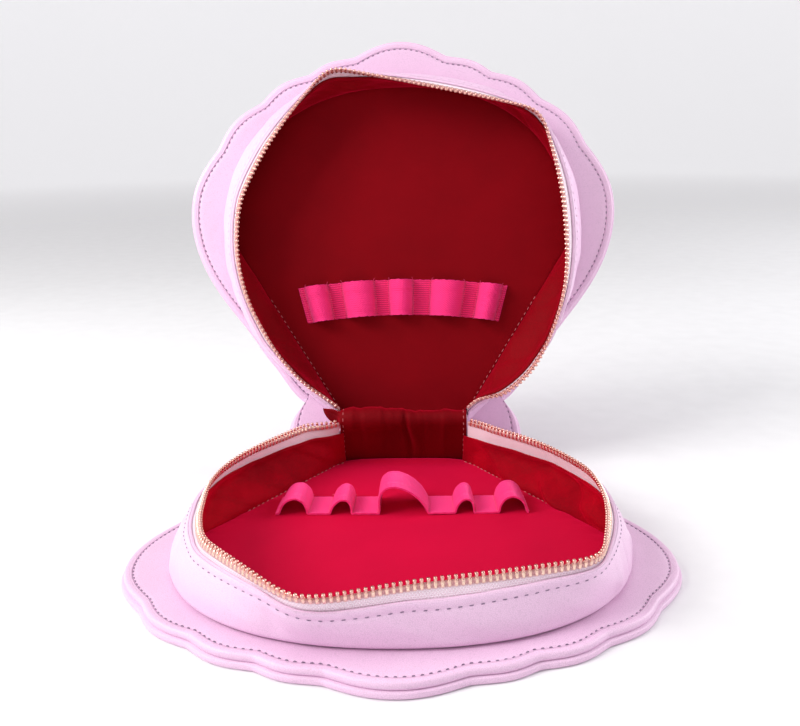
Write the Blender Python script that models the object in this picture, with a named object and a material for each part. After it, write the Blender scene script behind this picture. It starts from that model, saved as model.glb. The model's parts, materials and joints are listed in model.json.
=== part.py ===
"""Shell-shaped zip-around makeup brush case, standing open, in metres, +Z up.

The case has two alike halves on one hinge line. The base half lies flat, and the lid half
stands open behind it, leaning back on its ears. The origin is the middle of the underside,
below the centre of the round front, and +Y points from the round front to the hinge.

Both halves are modelled in one half frame: u runs across, v from the hinge line to the
round tip, and w from the zip down to the outer face. Angles of the round outlines are
measured about the arc centre, from the tip, positive towards +u.
"""

import math

import bmesh
import bpy
from mathutils import Vector

# Driving sizes of the shell
SHELL_WIDTH = 0.230
SHELL_LENGTH = 0.200
HALF_DEPTH = 0.034
OPEN_ANGLE = math.radians(103.0)

# The scalloped edge, whose lobes grow wider and further out from the tip to the sides
LOBES_A_SIDE = 3
CENTRE_LOBE_ANGLE = math.radians(26.2)
FIRST_LOBE_ANGLE = math.radians(13.8)
LOBE_GROWTH = 1.12
LOBE_ROUNDNESS = 1.3
SCALLOP_DEPTH = 0.0022
FRONT_EDGE_DROP = 0.0040
SIDE_EDGE_RISE = 0.0039
WAIST_RADIUS = 0.0930
WAIST_STARTS = math.radians(71)
WAIST_ENDS = math.radians(122)

# The ears behind the hinge
NECK_STARTS = math.radians(130)
NECK_ANGLE = math.radians(145.8)
NECK_RADIUS = 0.0970
EAR_LENGTH = 0.022
EAR_HALF_WIDTH = 0.0635
EAR_CORNER = 0.007
EAR_CORNER_CUT = 0.3
EAR_SWEEP = ((0.15, 0.62), (0.50, 0.84))

# Steps along the edge of one panel
CENTRE_LOBE_STEPS = 4
LOBE_STEPS = 6
WAIST_STEPS = 14

# Each half's panel is two plies sewn together round the edge
OUTER_PLY = 0.0028
INNER_PLY = 0.0029
INNER_PLY_SETBACK = 0.0012
EDGE_ROUNDING = 0.0013

# Padded ribs on the lid's outer face, as (share of the way out, share of the height) rows
RIB_HEIGHT = 0.0018
RIB_FOCUS_V = -0.012
RIB_FADE = math.radians(52)
RIB_ROWS = ((1.0, 0.0), (0.945, 0.0), (0.88, 1.0), (0.55, 0.9), (0.18, 0.0))

# The foot of the soft wall that stands on each panel
FLANGE = 0.0205
WALL_SIDE_RISE = 0.0063
WALL_WIDE_ANGLE = math.radians(50)
WALL_WAIST_ANGLE = math.radians(122)
WALL_WAIST_MARGIN = 0.003

# The spine, which leans back from the hinge line down to the panel
HINGE_WIDTH = 0.068
HINGE_LEAN = 0.009
HINGE_MARGIN = 0.002

# The layers of the soft wall and how far each ends below the zip's edge
WALL_BELLY = 0.0015
WALL_LEAN_POWER = 1.5
WALL_END_RUN = 1 / 12
WALL_STEPS = 52
LEATHER = 0.0014
TAPE = 0.0007
LINING = 0.0008
LEATHER_DROP = 0.0073
LINING_DROP = 0.0062
LINING_SLANT = 1.15
TAPE_WIDTH = 0.012

# The zip's chain, as one rail a side, round a mouth that is a soft polygon
CHAIN = 0.0026
RIM_GAP = 0.0009
MOUTH_ROUNDING = math.radians(7)
MOUTH_SAMPLES = 5

# The floor lining
FLOOR_LINING = 0.0012
FLOOR_MARGIN = 0.0045
SEAM_NORMAL = math.radians(121.5)
SEAM_REACH = math.radians(60)

# Elastic bands with brush loops
BAND_WIDTH = 0.020
BAND = 0.0012
ARCH_STEPS = 8
ARCH_ROUNDNESS = 0.8

# The zip's slider and its pull
SLIDER_LENGTH = 0.0105
SLIDER_WIDTH = 0.0080
SLIDER_HEIGHT = 0.0044
SLIDER_PLATE = 0.0013
SLIDER_TOP_W = 0.0080
PULL_LENGTH = 0.0170
PULL_WIDTH = 0.0062
PULL_THICKNESS = 0.0014
PULL_HOLE = 0.0030
PULL_HOLE_SIDES = 12

# Clearance between pieces that touch
GAP = 0.0003

# Edges that bend more sharply than this stay crisp
PANEL_CREASE = math.radians(35)
ELASTIC_CREASE = math.radians(40)
SOFT_CREASE = math.radians(60)

EDGE_RADIUS = SHELL_WIDTH / 2
CENTRE_V = SHELL_LENGTH - EDGE_RADIUS
PANEL_W = HALF_DEPTH - OUTER_PLY - GAP - INNER_PLY
FOOT_W = PANEL_W - GAP
FLOOR_TOP_W = FOOT_W - FLOOR_LINING
WALL_FRONT_RADIUS = EDGE_RADIUS - FLANGE
WALL_SIDE_RADIUS = WALL_FRONT_RADIUS + WALL_SIDE_RISE
WALL_WAIST_RADIUS = WAIST_RADIUS - WALL_WAIST_MARGIN
SPINE_SLANT = math.atan2(HINGE_LEAN, FOOT_W - RIM_GAP)
TAPE_DEPTH = LEATHER + GAP
LINING_DEPTH = TAPE_DEPTH + TAPE + GAP
CHAIN_DEPTH = TAPE_DEPTH + (TAPE - CHAIN) / 2


class Half:
    """One half of the case, with the shape that its soft mouth has taken.

    A mouth corner is (angle in degrees, radius, slack), where the slack is how far the run
    before the corner bows out of the straight line. The dip is (angle, depth, half-width).
    """

    def __init__(self, name, side, mouth, last_slack, dip, band_v, band_end, loops):
        self.name = name
        self.side = side
        self.mouth = mouth
        self.last_slack = last_slack
        self.dip = dip
        self.band_v = band_v
        self.band_end = band_end
        self.loops = loops

    def point(self, u, v, w):
        """A half-frame point, relative to the hinge axis before the lid is opened."""
        return Vector((u, -v, self.side * w))


BASE = Half(
    name="base",
    side=-1,
    mouth=((-150, 0.0945, 0.0), (-120, 0.0830, 0.0009), (-74, 0.0848, 0.0057),
           (-51, 0.0955, 0.0013), (-19, 0.1080, 0.0013), (43.5, 0.1085, 0.0025),
           (97, 0.0845, 0.0050), (132, 0.0813, 0.0019)),
    last_slack=0.0,
    dip=(-16, 0.0032, 14),
    band_v=0.057,
    band_end=0.0575,
    loops=((-0.0494, 0.0130, 0.0082), (-0.0277, 0.0100, 0.0076), (0.0009, 0.0220, 0.0143),
           (0.0293, 0.0100, 0.0078), (0.0507, 0.0136, 0.0087)),
)
LID = Half(
    name="lid",
    side=1,
    mouth=((-121, 0.0843, 0.0046), (-72, 0.0883, 0.0072), (-21, 0.1035, 0.0035),
           (45.5, 0.1030, 0.0), (87, 0.0860, 0.0025), (131, 0.0938, 0.0053)),
    last_slack=0.0046,
    dip=(0, 0.0, 14),
    band_v=0.0605,
    band_end=0.0540,
    loops=((-0.0448, 0.0114, 0.0090), (-0.0232, 0.0163, 0.0090), (-0.0009, 0.0122, 0.0088),
           (0.0235, 0.0170, 0.0090), (0.0456, 0.0112, 0.0090)),
)


def smooth_step(x):
    """0 below 0, 1 above 1, and a smooth rise between."""
    x = min(max(x, 0.0), 1.0)
    return x * x * (3 - 2 * x)


def polar(angle, radius):
    """The (u, v) point at an angle and radius about the arc centre."""
    return radius * math.sin(angle), CENTRE_V + radius * math.cos(angle)


def chord_radius(angle, start, end):
    """The radius at one angle on the straight line between two (angle, radius) points."""
    (a0, r0), (a1, r1) = start, end
    return r0 * r1 * math.sin(a1 - a0) / (r0 * math.sin(angle - a0) + r1 * math.sin(a1 - angle))


def lobe_share(angle):
    """0 at a notch of the scalloped edge and 1 at the crown of a lobe."""
    a = abs(angle)
    start = CENTRE_LOBE_ANGLE / 2
    place = 0.5 + a / CENTRE_LOBE_ANGLE
    width = FIRST_LOBE_ANGLE
    for _ in range(LOBES_A_SIDE):
        if a >= start:
            place = (a - start) / width
        start += width
        width *= LOBE_GROWTH
    if a >= start:
        place = min((a - start) / CENTRE_LOBE_ANGLE, 0.5)
    return abs(math.sin(math.pi * place)) ** LOBE_ROUNDNESS


def edge_radius(angle):
    """The panel's scalloped edge, which narrows to a waist towards the hinge."""
    a = abs(angle)
    front = CENTRE_LOBE_ANGLE / 2
    to_side = smooth_step((a - front) / (WAIST_STARTS - front))
    line = EDGE_RADIUS - FRONT_EDGE_DROP + (FRONT_EDGE_DROP + SIDE_EDGE_RISE) * to_side
    share = lobe_share(angle)
    radius = line - SCALLOP_DEPTH * smooth_step(a / CENTRE_LOBE_ANGLE) * (1 - share)
    if a < front:
        radius += FRONT_EDGE_DROP * share
    radius += (WAIST_RADIUS - radius) * smooth_step((a - WAIST_STARTS) / (WAIST_ENDS - WAIST_STARTS))
    to_neck = smooth_step((a - NECK_STARTS) / (NECK_ANGLE - NECK_STARTS))
    return radius + (NECK_RADIUS - WAIST_RADIUS) * to_neck


def edge_angles():
    """Angles of the panel's edge: close together on the lobes, wider on the waist."""
    notch = CENTRE_LOBE_ANGLE / 2
    width = FIRST_LOBE_ANGLE
    angles = [notch * i / CENTRE_LOBE_STEPS for i in range(CENTRE_LOBE_STEPS)]
    for _ in range(LOBES_A_SIDE):
        angles += [notch + width * i / LOBE_STEPS for i in range(LOBE_STEPS)]
        notch += width
        width *= LOBE_GROWTH
    step = (NECK_ANGLE - notch) / WAIST_STEPS
    return angles + [notch + step * i for i in range(WAIST_STEPS + 1)]


def panel_outline(inset):
    """The panel's outline from the right ear round the tip to the left ear, as (u, v)."""
    right = [polar(a, edge_radius(a) - inset) for a in reversed(edge_angles())]
    neck_u, neck_v = right[0]
    ear_u = EAR_HALF_WIDTH - inset
    ear_v = inset - EAR_LENGTH
    cut = EAR_CORNER_CUT * EAR_CORNER
    flare = [(ear_u - EAR_CORNER, ear_v), (ear_u - cut, ear_v + cut), (ear_u, ear_v + EAR_CORNER)]
    for across, along in EAR_SWEEP:
        flare.append((ear_u + across * (neck_u - ear_u), ear_v + along * (neck_v - ear_v)))
    right = flare + right
    return right + [(-u, v) for u, v in reversed(right[:-1])]


def spine_v(w):
    """The outer face of the leaning spine at height w."""
    return -HINGE_LEAN * (w - RIM_GAP) / (FOOT_W - RIM_GAP)


def hinge_corner(w):
    """The (angle, radius) where the wall ends beside the spine at height w."""
    u = HINGE_WIDTH / 2
    v = spine_v(w) + HINGE_MARGIN - CENTRE_V
    return math.atan2(u, v), math.hypot(u, v)


def foot_radius(angle, w):
    """The foot of the soft wall, which runs straight from its waist to the spine."""
    a = abs(angle)
    if a > WALL_WAIST_ANGLE:
        return chord_radius(a, (WALL_WAIST_ANGLE, WALL_WAIST_RADIUS), hinge_corner(w))
    radius = WALL_FRONT_RADIUS + WALL_SIDE_RISE * smooth_step(a / WALL_WIDE_ANGLE)
    narrowing = smooth_step((a - WALL_WIDE_ANGLE) / (WALL_WAIST_ANGLE - WALL_WIDE_ANGLE))
    return radius + (WALL_WAIST_RADIUS - WALL_SIDE_RADIUS) * narrowing


def sharp_mouth(half, angle):
    """The zip's edge as a polygon with sharp corners and slightly bowed sides."""
    end_angle, end_radius = hinge_corner(RIM_GAP)
    a = min(max(angle, -end_angle), end_angle)
    corners = list(half.mouth) + [(math.degrees(end_angle), end_radius, half.last_slack)]
    start = (-end_angle, end_radius)
    for degrees, radius, slack in corners:
        end = (math.radians(degrees), radius)
        if a <= end[0]:
            break
        start = end
    along = (a - start[0]) / (end[0] - start[0])
    return chord_radius(a, start, end) + 4 * slack * along * (1 - along)


def mouth_radius(half, angle):
    """The zip's edge with the corners of its polygon rounded off."""
    total = 0.0
    weights = 0
    for i in range(1 - MOUTH_SAMPLES, MOUTH_SAMPLES):
        weight = MOUTH_SAMPLES - abs(i)
        total += weight * sharp_mouth(half, angle + MOUTH_ROUNDING * i / MOUTH_SAMPLES)
        weights += weight
    end_angle, end_radius = hinge_corner(RIM_GAP)
    freed = smooth_step((end_angle - abs(angle)) / MOUTH_ROUNDING)
    return end_radius + (total / weights - end_radius) * freed


def wall_angle(side, w):
    """The angle at height w of one place along the wall, from -1 to 1 between its ends."""
    return side * hinge_corner(w)[0]


def rim_w(half, side):
    """The height of the zip's edge, which dips where the mouth's corner sinks."""
    centre, depth, half_width = half.dip
    away = (math.degrees(wall_angle(side, RIM_GAP)) - centre) / half_width
    return RIM_GAP + depth * math.exp(-(away ** 2))


def wall_radius(half, side, w):
    """The outer face of the soft wall at height w."""
    height = (FOOT_W - w) / (FOOT_W - rim_w(half, side))
    height = min(max(height, 0.0), 1.0)
    foot = foot_radius(wall_angle(side, w), w)
    lean = (mouth_radius(half, wall_angle(side, RIM_GAP)) - foot) * height ** WALL_LEAN_POWER
    belly = WALL_BELLY * 6.75 * height * (1 - height) ** 2
    freed = smooth_step((1 - abs(side)) / WALL_END_RUN)
    return foot + freed * (lean + belly)


def wall_uv(half, side, w, depth):
    """The (u, v) point of the soft wall at height w, depth in from its outer face."""
    return polar(wall_angle(side, w), wall_radius(half, side, w) - depth)


def seam_radius(angle):
    """The seam between the floor lining and the wall lining."""
    a = abs(angle)
    corner_angle, corner_radius = hinge_corner(FOOT_W)
    reach = (corner_radius - LINING_DEPTH) * math.cos(corner_angle - SEAM_NORMAL)
    front = foot_radius(a, FOOT_W) - FLOOR_MARGIN
    if abs(a - SEAM_NORMAL) > SEAM_REACH:
        return front
    return min(front, (reach - GAP) / math.cos(a - SEAM_NORMAL))


def wall_sides():
    """Even steps from one hinge corner round the tip to the other."""
    return [2 * i / WALL_STEPS - 1 for i in range(WALL_STEPS + 1)]


def new_object(name, mesh, material, parent):
    """Link a finished mesh as one named sub-part."""
    mesh.materials.append(material)
    piece = bpy.data.objects.new(name, mesh)
    bpy.context.collection.objects.link(piece)
    piece.parent = parent
    return piece


def mesh_from(name, points, faces):
    """A closed mesh with its faces pointing out."""
    bm = bmesh.new()
    verts = [bm.verts.new(p) for p in points]
    for face in faces:
        bm.faces.new([verts[i] for i in face])
    bmesh.ops.recalc_face_normals(bm, faces=bm.faces)
    mesh = bpy.data.meshes.new(name)
    bm.to_mesh(mesh)
    bm.free()
    return mesh


def skinned(name, sections):
    """A mesh through equal closed sections, capped at both ends.

    The diagonals of the first half of a section's sides run against those of the second
    half, so that the two faces of a strip, and the strips beside it, stay parallel.
    """
    count = len(sections[0])
    points = [p for section in sections for p in section]
    faces = []
    for s in range(len(sections) - 1):
        for i in range(count):
            j = (i + 1) % count
            a, b = s * count, (s + 1) * count
            if i < count // 2:
                faces += [(a + i, a + j, b + j), (a + i, b + j, b + i)]
            else:
                faces += [(a + i, a + j, b + i), (a + j, b + j, b + i)]
    faces.append(tuple(range(count)))
    faces.append(tuple(range(len(points) - count, len(points))))
    return mesh_from(name, points, faces)


def shade_round(piece, angle=PANEL_CREASE):
    """Smooth shading with the real edges kept sharp."""
    piece.data.shade_smooth()
    piece.data.set_sharp_from_angle(angle=angle)


def outer_ply(half, material, parent):
    """The outer leather ply of a panel, with its outer edge rounded."""
    top = HALF_DEPTH - OUTER_PLY
    layers = ((0.0, top), (0.0, HALF_DEPTH - EDGE_ROUNDING / 2), (EDGE_ROUNDING / 2, HALF_DEPTH))
    rings = [[half.point(u, v, w) for u, v in panel_outline(inset)] for inset, w in layers]
    piece = new_object(f"{half.name}_outer_panel", skinned("ply", rings), material, parent)
    shade_round(piece)
    return piece


def ribbed_ply(half, material, parent):
    """The lid's outer ply, whose face has padded ribs that fan out from the hinge."""
    top = HALF_DEPTH - OUTER_PLY
    outline = panel_outline(0.0)
    angles = [math.atan2(u, v - CENTRE_V) for u, v in outline]
    swell = [lobe_share(a) * (1 - smooth_step((abs(a) - WAIST_STARTS) / RIB_FADE)) for a in angles]
    rings = [[half.point(u, v, top) for u, v in outline]]
    for share, rise in RIB_ROWS:
        ring = []
        for (u, v), lift in zip(outline, swell):
            v_in = RIB_FOCUS_V + (v - RIB_FOCUS_V) * share
            ring.append(half.point(u * share, v_in, HALF_DEPTH + RIB_HEIGHT * rise * lift))
        rings.append(ring)
    piece = new_object(f"{half.name}_outer_panel", skinned("ply", rings), material, parent)
    shade_round(piece, SOFT_CREASE)
    return piece


def inner_ply(half, material, parent):
    """The inner leather ply, set back a little and rounded over at its edge."""
    layers = (
        (INNER_PLY_SETBACK, PANEL_W + INNER_PLY),
        (INNER_PLY_SETBACK, PANEL_W + EDGE_ROUNDING),
        (INNER_PLY_SETBACK + EDGE_ROUNDING, PANEL_W),
    )
    rings = [[half.point(u, v, w) for u, v in panel_outline(inset)] for inset, w in layers]
    piece = new_object(f"{half.name}_inner_panel", skinned("ply", rings), material, parent)
    shade_round(piece)
    return piece


def wall_heights(half, side, bottom, top):
    """Heights of a strip's rows, shared by all layers so that they stay parallel."""
    rim = rim_w(half, side)
    tape_foot = rim + CHAIN + GAP + TAPE_WIDTH
    rows = (FOOT_W, (FOOT_W + tape_foot) / 2, tape_foot, rim + LEATHER_DROP)
    inner = [w for w in rows if top + GAP < w < bottom - GAP]
    return [bottom] + inner + [top]


def wall_strip(half, name, depth, thickness, extents, material, parent):
    """A strip of the soft wall between the (bottom, top) heights given for each side."""
    sections = []
    for side, (bottom, top) in zip(wall_sides(), extents):
        heights = wall_heights(half, side, bottom, top)
        inner = depth + thickness
        outside = [half.point(*wall_uv(half, side, w, depth), w) for w in heights]
        inside = [half.point(*wall_uv(half, side, w, inner), w) for w in reversed(heights)]
        sections.append(outside + inside)
    piece = new_object(name, skinned("strip", sections), material, parent)
    shade_round(piece, SOFT_CREASE)
    return piece


def gusset(half, material, parent):
    """The leather wall between the panel and the zip tape."""
    extents = [(FOOT_W, rim_w(half, side) + LEATHER_DROP) for side in wall_sides()]
    return wall_strip(half, f"{half.name}_gusset", 0.0, LEATHER, extents, material, parent)


def zip_tape(half, material, parent):
    """The zip's woven tape, sewn between the leather and the lining."""
    tops = [rim_w(half, side) + CHAIN + GAP for side in wall_sides()]
    extents = [(top + TAPE_WIDTH, top) for top in tops]
    return wall_strip(half, f"{half.name}_zip_tape", TAPE_DEPTH, TAPE, extents, material, parent)


def zip_chain(half, material, parent):
    """One side of the zip's teeth, as a rail along the tape's edge."""
    sections = []
    for side in wall_sides():
        top = rim_w(half, side)
        corners = ((CHAIN_DEPTH, top), (CHAIN_DEPTH + CHAIN, top),
                   (CHAIN_DEPTH + CHAIN, top + CHAIN), (CHAIN_DEPTH, top + CHAIN))
        sections.append([half.point(*wall_uv(half, side, w, depth), w) for depth, w in corners])
    piece = new_object(f"{half.name}_zip_teeth", skinned("chain", sections), material, parent)
    shade_round(piece, SOFT_CREASE)
    return piece


def lining_radius(half, side, w, bottom, top):
    """The lining's outer face, which slants from the floor seam up to the zip tape."""
    on_wall = wall_radius(half, side, w) - LINING_DEPTH
    on_seam = seam_radius(wall_angle(side, w)) - GAP
    rise = smooth_step((bottom - w) / (bottom - top) * LINING_SLANT)
    return min(on_wall, on_seam + (on_wall - on_seam) * rise)


def wall_lining(half, material, parent):
    """The lining of the wall, from the floor seam up to the zip tape."""
    bottom = FLOOR_TOP_W - GAP
    sections = []
    for side in wall_sides():
        top = rim_w(half, side) + LINING_DROP
        outside = []
        inside = []
        for w in wall_heights(half, side, bottom, top):
            angle = wall_angle(side, w)
            radius = lining_radius(half, side, w, bottom, top)
            outside.append(half.point(*polar(angle, radius), w))
            inside.append(half.point(*polar(angle, radius - LINING), w))
        sections.append(outside + inside[::-1])
    name = f"{half.name}_wall_lining"
    piece = new_object(name, skinned("lining", sections), material, parent)
    shade_round(piece, SOFT_CREASE)
    return piece


def floor_lining(half, material, parent):
    """The lining sewn on the panel inside the wall."""
    angles = [wall_angle(side, FOOT_W) for side in wall_sides()]
    outline = [polar(a, seam_radius(a)) for a in angles]
    rings = [[half.point(u, v, w) for u, v in outline] for w in (FOOT_W, FLOOR_TOP_W)]
    return new_object(f"{half.name}_floor_lining", skinned("floor", rings), material, parent)


def spine_strip(half, name, depth, thickness, bottom, top, material, parent):
    """A strip of the leaning spine, depth in from its outer face."""
    half_width = HINGE_WIDTH / 2 - LEATHER
    rings = []
    for w in (bottom, (bottom + top) / 2, top):
        outer = spine_v(w) + depth
        inner = outer + thickness
        corners = ((-half_width, outer), (half_width, outer), (half_width, inner),
                   (-half_width, inner))
        rings.append([half.point(u, v, w) for u, v in corners])
    return new_object(name, skinned("strip", rings), material, parent)


def hinge_leather(half, material, parent):
    """This half's share of the leather spine that the case folds on."""
    name = f"{half.name}_hinge_leather"
    return spine_strip(half, name, 0.0, LEATHER, FOOT_W, RIM_GAP, material, parent)


def hinge_lining(half, material, parent):
    """This half's share of the lining inside the spine."""
    name = f"{half.name}_hinge_lining"
    bottom = FLOOR_TOP_W - GAP
    return spine_strip(half, name, LEATHER + GAP, LINING, bottom, RIM_GAP + GAP, material, parent)


def band_profile(half):
    """The band's top and under sides as matching (u, height above the floor) points."""
    over = [(-half.band_end, BAND)]
    under = [(-half.band_end, 0.0)]
    for middle, width, height in half.loops:
        for i in range(ARCH_STEPS + 1):
            turn = math.pi * (1 - i / ARCH_STEPS)
            rise = math.sin(turn) ** ARCH_ROUNDNESS if 0 < i < ARCH_STEPS else 0.0
            across = math.cos(turn)
            over.append((middle + across * width / 2, BAND + (height - BAND) * rise))
            under.append((middle + across * (width / 2 - BAND), (height - BAND) * rise))
    over.append((half.band_end, BAND))
    under.append((half.band_end, 0.0))
    return over, under


def elastic_band(half, material, parent):
    """One elastic strip sewn down between its brush loops."""
    near = half.band_v - BAND_WIDTH / 2
    far = half.band_v + BAND_WIDTH / 2
    rest_w = FLOOR_TOP_W - GAP
    sections = []
    for (over_u, over_h), (under_u, under_h) in zip(*band_profile(half)):
        sections.append([
            half.point(over_u, near, rest_w - over_h),
            half.point(over_u, far, rest_w - over_h),
            half.point(under_u, far, rest_w - under_h),
            half.point(under_u, near, rest_w - under_h),
        ])
    name = f"{half.name}_elastic_band"
    piece = new_object(name, skinned("band", sections), material, parent)
    shade_round(piece, ELASTIC_CREASE)
    return piece


def add_box(bm, low, high):
    """Six faces between two corners."""
    corners = [(x, y, z) for x in (low[0], high[0]) for y in (low[1], high[1])
               for z in (low[2], high[2])]
    verts = [bm.verts.new(c) for c in corners]
    for face in ((0, 1, 3, 2), (4, 6, 7, 5), (0, 4, 5, 1), (2, 3, 7, 6), (0, 2, 6, 4),
                 (1, 5, 7, 3)):
        bm.faces.new([verts[i] for i in face])


def slider_place(w, height):
    """A place behind the spine at its left end, at a height above the leaning outer face."""
    u = SLIDER_WIDTH / 2 - HINGE_WIDTH / 2
    back = height * math.cos(SPINE_SLANT)
    up = height * math.sin(SPINE_SLANT)
    return BASE.point(u, spine_v(w) - back, w - up)


def zip_slider(material, parent):
    """The slider: two plates on a middle post, parked at the end of the zip."""
    half_width, half_height, half_length = SLIDER_WIDTH / 2, SLIDER_HEIGHT / 2, SLIDER_LENGTH / 2
    post = half_width / 3
    inside = half_height - SLIDER_PLATE
    profile = (
        (-half_width, -half_height), (half_width, -half_height), (half_width, -inside),
        (post, -inside), (post, inside), (half_width, inside),
        (half_width, half_height), (-half_width, half_height), (-half_width, inside),
        (-post, inside), (-post, -inside), (-half_width, -inside),
    )
    rings = [[Vector((x, y, z)) for x, y in profile] for z in (-half_length, half_length)]
    piece = new_object("zip_slider", skinned("slider", rings), material, parent)
    piece.location = slider_place(SLIDER_TOP_W + half_length, GAP + half_height)
    piece.rotation_euler.x = SPINE_SLANT
    bevel = piece.modifiers.new("rounded edges", "BEVEL")
    bevel.width = SLIDER_PLATE / 4
    bevel.segments = 1
    return piece


def zip_pull(material, parent):
    """The flat pull with its eye, lying down along the slider behind the case."""
    half_width = PULL_WIDTH / 2
    half_thickness = PULL_THICKNESS / 2
    bm = bmesh.new()
    add_box(bm, (-half_width, -half_thickness, -PULL_LENGTH), (half_width, half_thickness, 0))
    mesh = bpy.data.meshes.new("pull")
    bm.to_mesh(mesh)
    bm.free()
    piece = new_object("zip_pull", mesh, material, parent)
    height = GAP + SLIDER_HEIGHT + GAP + half_thickness
    piece.location = slider_place(SLIDER_TOP_W + SLIDER_LENGTH / 4, height)
    piece.rotation_euler.x = SPINE_SLANT
    bm = bmesh.new()
    bmesh.ops.create_cone(bm, cap_ends=True, segments=PULL_HOLE_SIDES, radius1=PULL_HOLE / 2,
                          radius2=PULL_HOLE / 2, depth=4 * PULL_THICKNESS)
    bmesh.ops.rotate(bm, verts=bm.verts, matrix=Vector((0, 0, 1)).rotation_difference(
        Vector((0, 1, 0))).to_matrix())
    bmesh.ops.translate(bm, verts=bm.verts, vec=(0, 0, -PULL_HOLE))
    eye = bpy.data.meshes.new("pull eye")
    bm.to_mesh(eye)
    bm.free()
    cutter = bpy.data.objects.new("pull_eye_cutter", eye)
    bpy.context.collection.objects.link(cutter)
    cutter.parent = parent
    cutter.location = piece.location
    cutter.rotation_euler = piece.rotation_euler
    cutter.hide_render = True
    cutter.display_type = "WIRE"
    hole = piece.modifiers.new("eye", "BOOLEAN")
    hole.operation = "DIFFERENCE"
    hole.solver = "EXACT"
    hole.object = cutter
    return piece


def material(name, colour, roughness, metallic=0.0):
    """A plain Principled material."""
    made = bpy.data.materials.new(name)
    made.use_nodes = True
    shader = made.node_tree.nodes["Principled BSDF"]
    shader.inputs["Base Color"].default_value = (*colour, 1.0)
    shader.inputs["Roughness"].default_value = roughness
    shader.inputs["Metallic"].default_value = metallic
    return made


def empty(name, location, turn):
    """An empty on the hinge axis that one half hangs on."""
    holder = bpy.data.objects.new(name, None)
    holder.location = location
    holder.rotation_euler = (turn, 0.0, 0.0)
    bpy.context.collection.objects.link(holder)
    return holder


def build():
    for old in list(bpy.data.objects):
        bpy.data.objects.remove(old, do_unlink=True)

    leather = material("lilac leatherette", (0.82, 0.60, 0.78), 0.45)
    wall_leather = material("pale lilac leatherette", (0.87, 0.66, 0.82), 0.45)
    tape = material("pink zip tape", (0.75, 0.36, 0.42), 0.8)
    gold = material("rose gold", (0.80, 0.42, 0.33), 0.3, 1.0)
    lining = material("red lining", (0.42, 0.01, 0.03), 0.6)
    elastic = material("hot pink elastic", (0.95, 0.05, 0.24), 0.7)

    axis = (0.0, CENTRE_V, HALF_DEPTH)
    holders = {
        BASE.name: empty("base_on_hinge_axis", axis, 0.0),
        LID.name: empty("lid_on_hinge_axis", axis, -OPEN_ANGLE),
    }
    for half in (BASE, LID):
        holder = holders[half.name]
        if half is LID:
            ribbed_ply(half, leather, holder)
        else:
            outer_ply(half, leather, holder)
        inner_ply(half, leather, holder)
        gusset(half, wall_leather, holder)
        zip_tape(half, tape, holder)
        zip_chain(half, gold, holder)
        wall_lining(half, lining, holder)
        floor_lining(half, lining, holder)
        hinge_leather(half, wall_leather, holder)
        hinge_lining(half, lining, holder)
        elastic_band(half, elastic, holder)
    zip_slider(gold, holders[BASE.name])
    zip_pull(gold, holders[BASE.name])
    bpy.context.view_layer.update()


build()
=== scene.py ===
"""Looks of the shell-shaped makeup brush case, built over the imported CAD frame."""
import json
import math

import bpy
import numpy as np
from mathutils import Matrix, Vector


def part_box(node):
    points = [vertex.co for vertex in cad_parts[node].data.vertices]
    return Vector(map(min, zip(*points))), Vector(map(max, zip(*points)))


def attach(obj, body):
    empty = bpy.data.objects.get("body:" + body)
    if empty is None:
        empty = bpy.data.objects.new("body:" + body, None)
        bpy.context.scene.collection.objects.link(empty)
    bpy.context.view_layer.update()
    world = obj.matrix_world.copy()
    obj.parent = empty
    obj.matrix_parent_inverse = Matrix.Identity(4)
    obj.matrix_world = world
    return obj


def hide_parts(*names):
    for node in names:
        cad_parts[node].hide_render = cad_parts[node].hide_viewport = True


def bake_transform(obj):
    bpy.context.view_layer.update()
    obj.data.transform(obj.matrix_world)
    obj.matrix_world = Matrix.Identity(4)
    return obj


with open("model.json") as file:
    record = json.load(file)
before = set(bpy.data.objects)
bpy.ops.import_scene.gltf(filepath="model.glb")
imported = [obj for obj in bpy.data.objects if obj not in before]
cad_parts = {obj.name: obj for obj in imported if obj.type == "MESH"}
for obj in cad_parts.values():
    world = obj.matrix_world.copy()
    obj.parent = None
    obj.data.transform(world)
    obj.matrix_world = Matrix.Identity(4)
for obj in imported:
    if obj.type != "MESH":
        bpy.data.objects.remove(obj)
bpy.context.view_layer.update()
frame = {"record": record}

rad = math.radians
hinge = frame["record"]["behaviour"]["joints"][0]
CENTRE_V = hinge["pos_m"][1]
HALF_DEPTH = hinge["pos_m"][2]
OPEN_ANGLE = rad(hinge["range_deg"][1])
low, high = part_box("base_outer_panel")
EDGE_RADIUS = round((high[0] - low[0]) / 2, 4)
EAR_LENGTH = high[1] - CENTRE_V
OUTER_PLY = high[2] - low[2]
GAP = 0.0003
low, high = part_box("base_inner_panel")
INNER_PLY = high[2] - low[2]
PANEL_W = HALF_DEPTH - high[2]
FOOT_W = PANEL_W - GAP
low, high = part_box("base_floor_lining")
FLOOR_TOP_W = HALF_DEPTH - high[2]
low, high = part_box("base_hinge_leather")
LEATHER = 0.0014
HINGE_WIDTH = high[0] - low[0] + 2 * LEATHER
RIM_GAP = HALF_DEPTH - high[2]
HINGE_LEAN = high[1] - CENTRE_V

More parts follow.
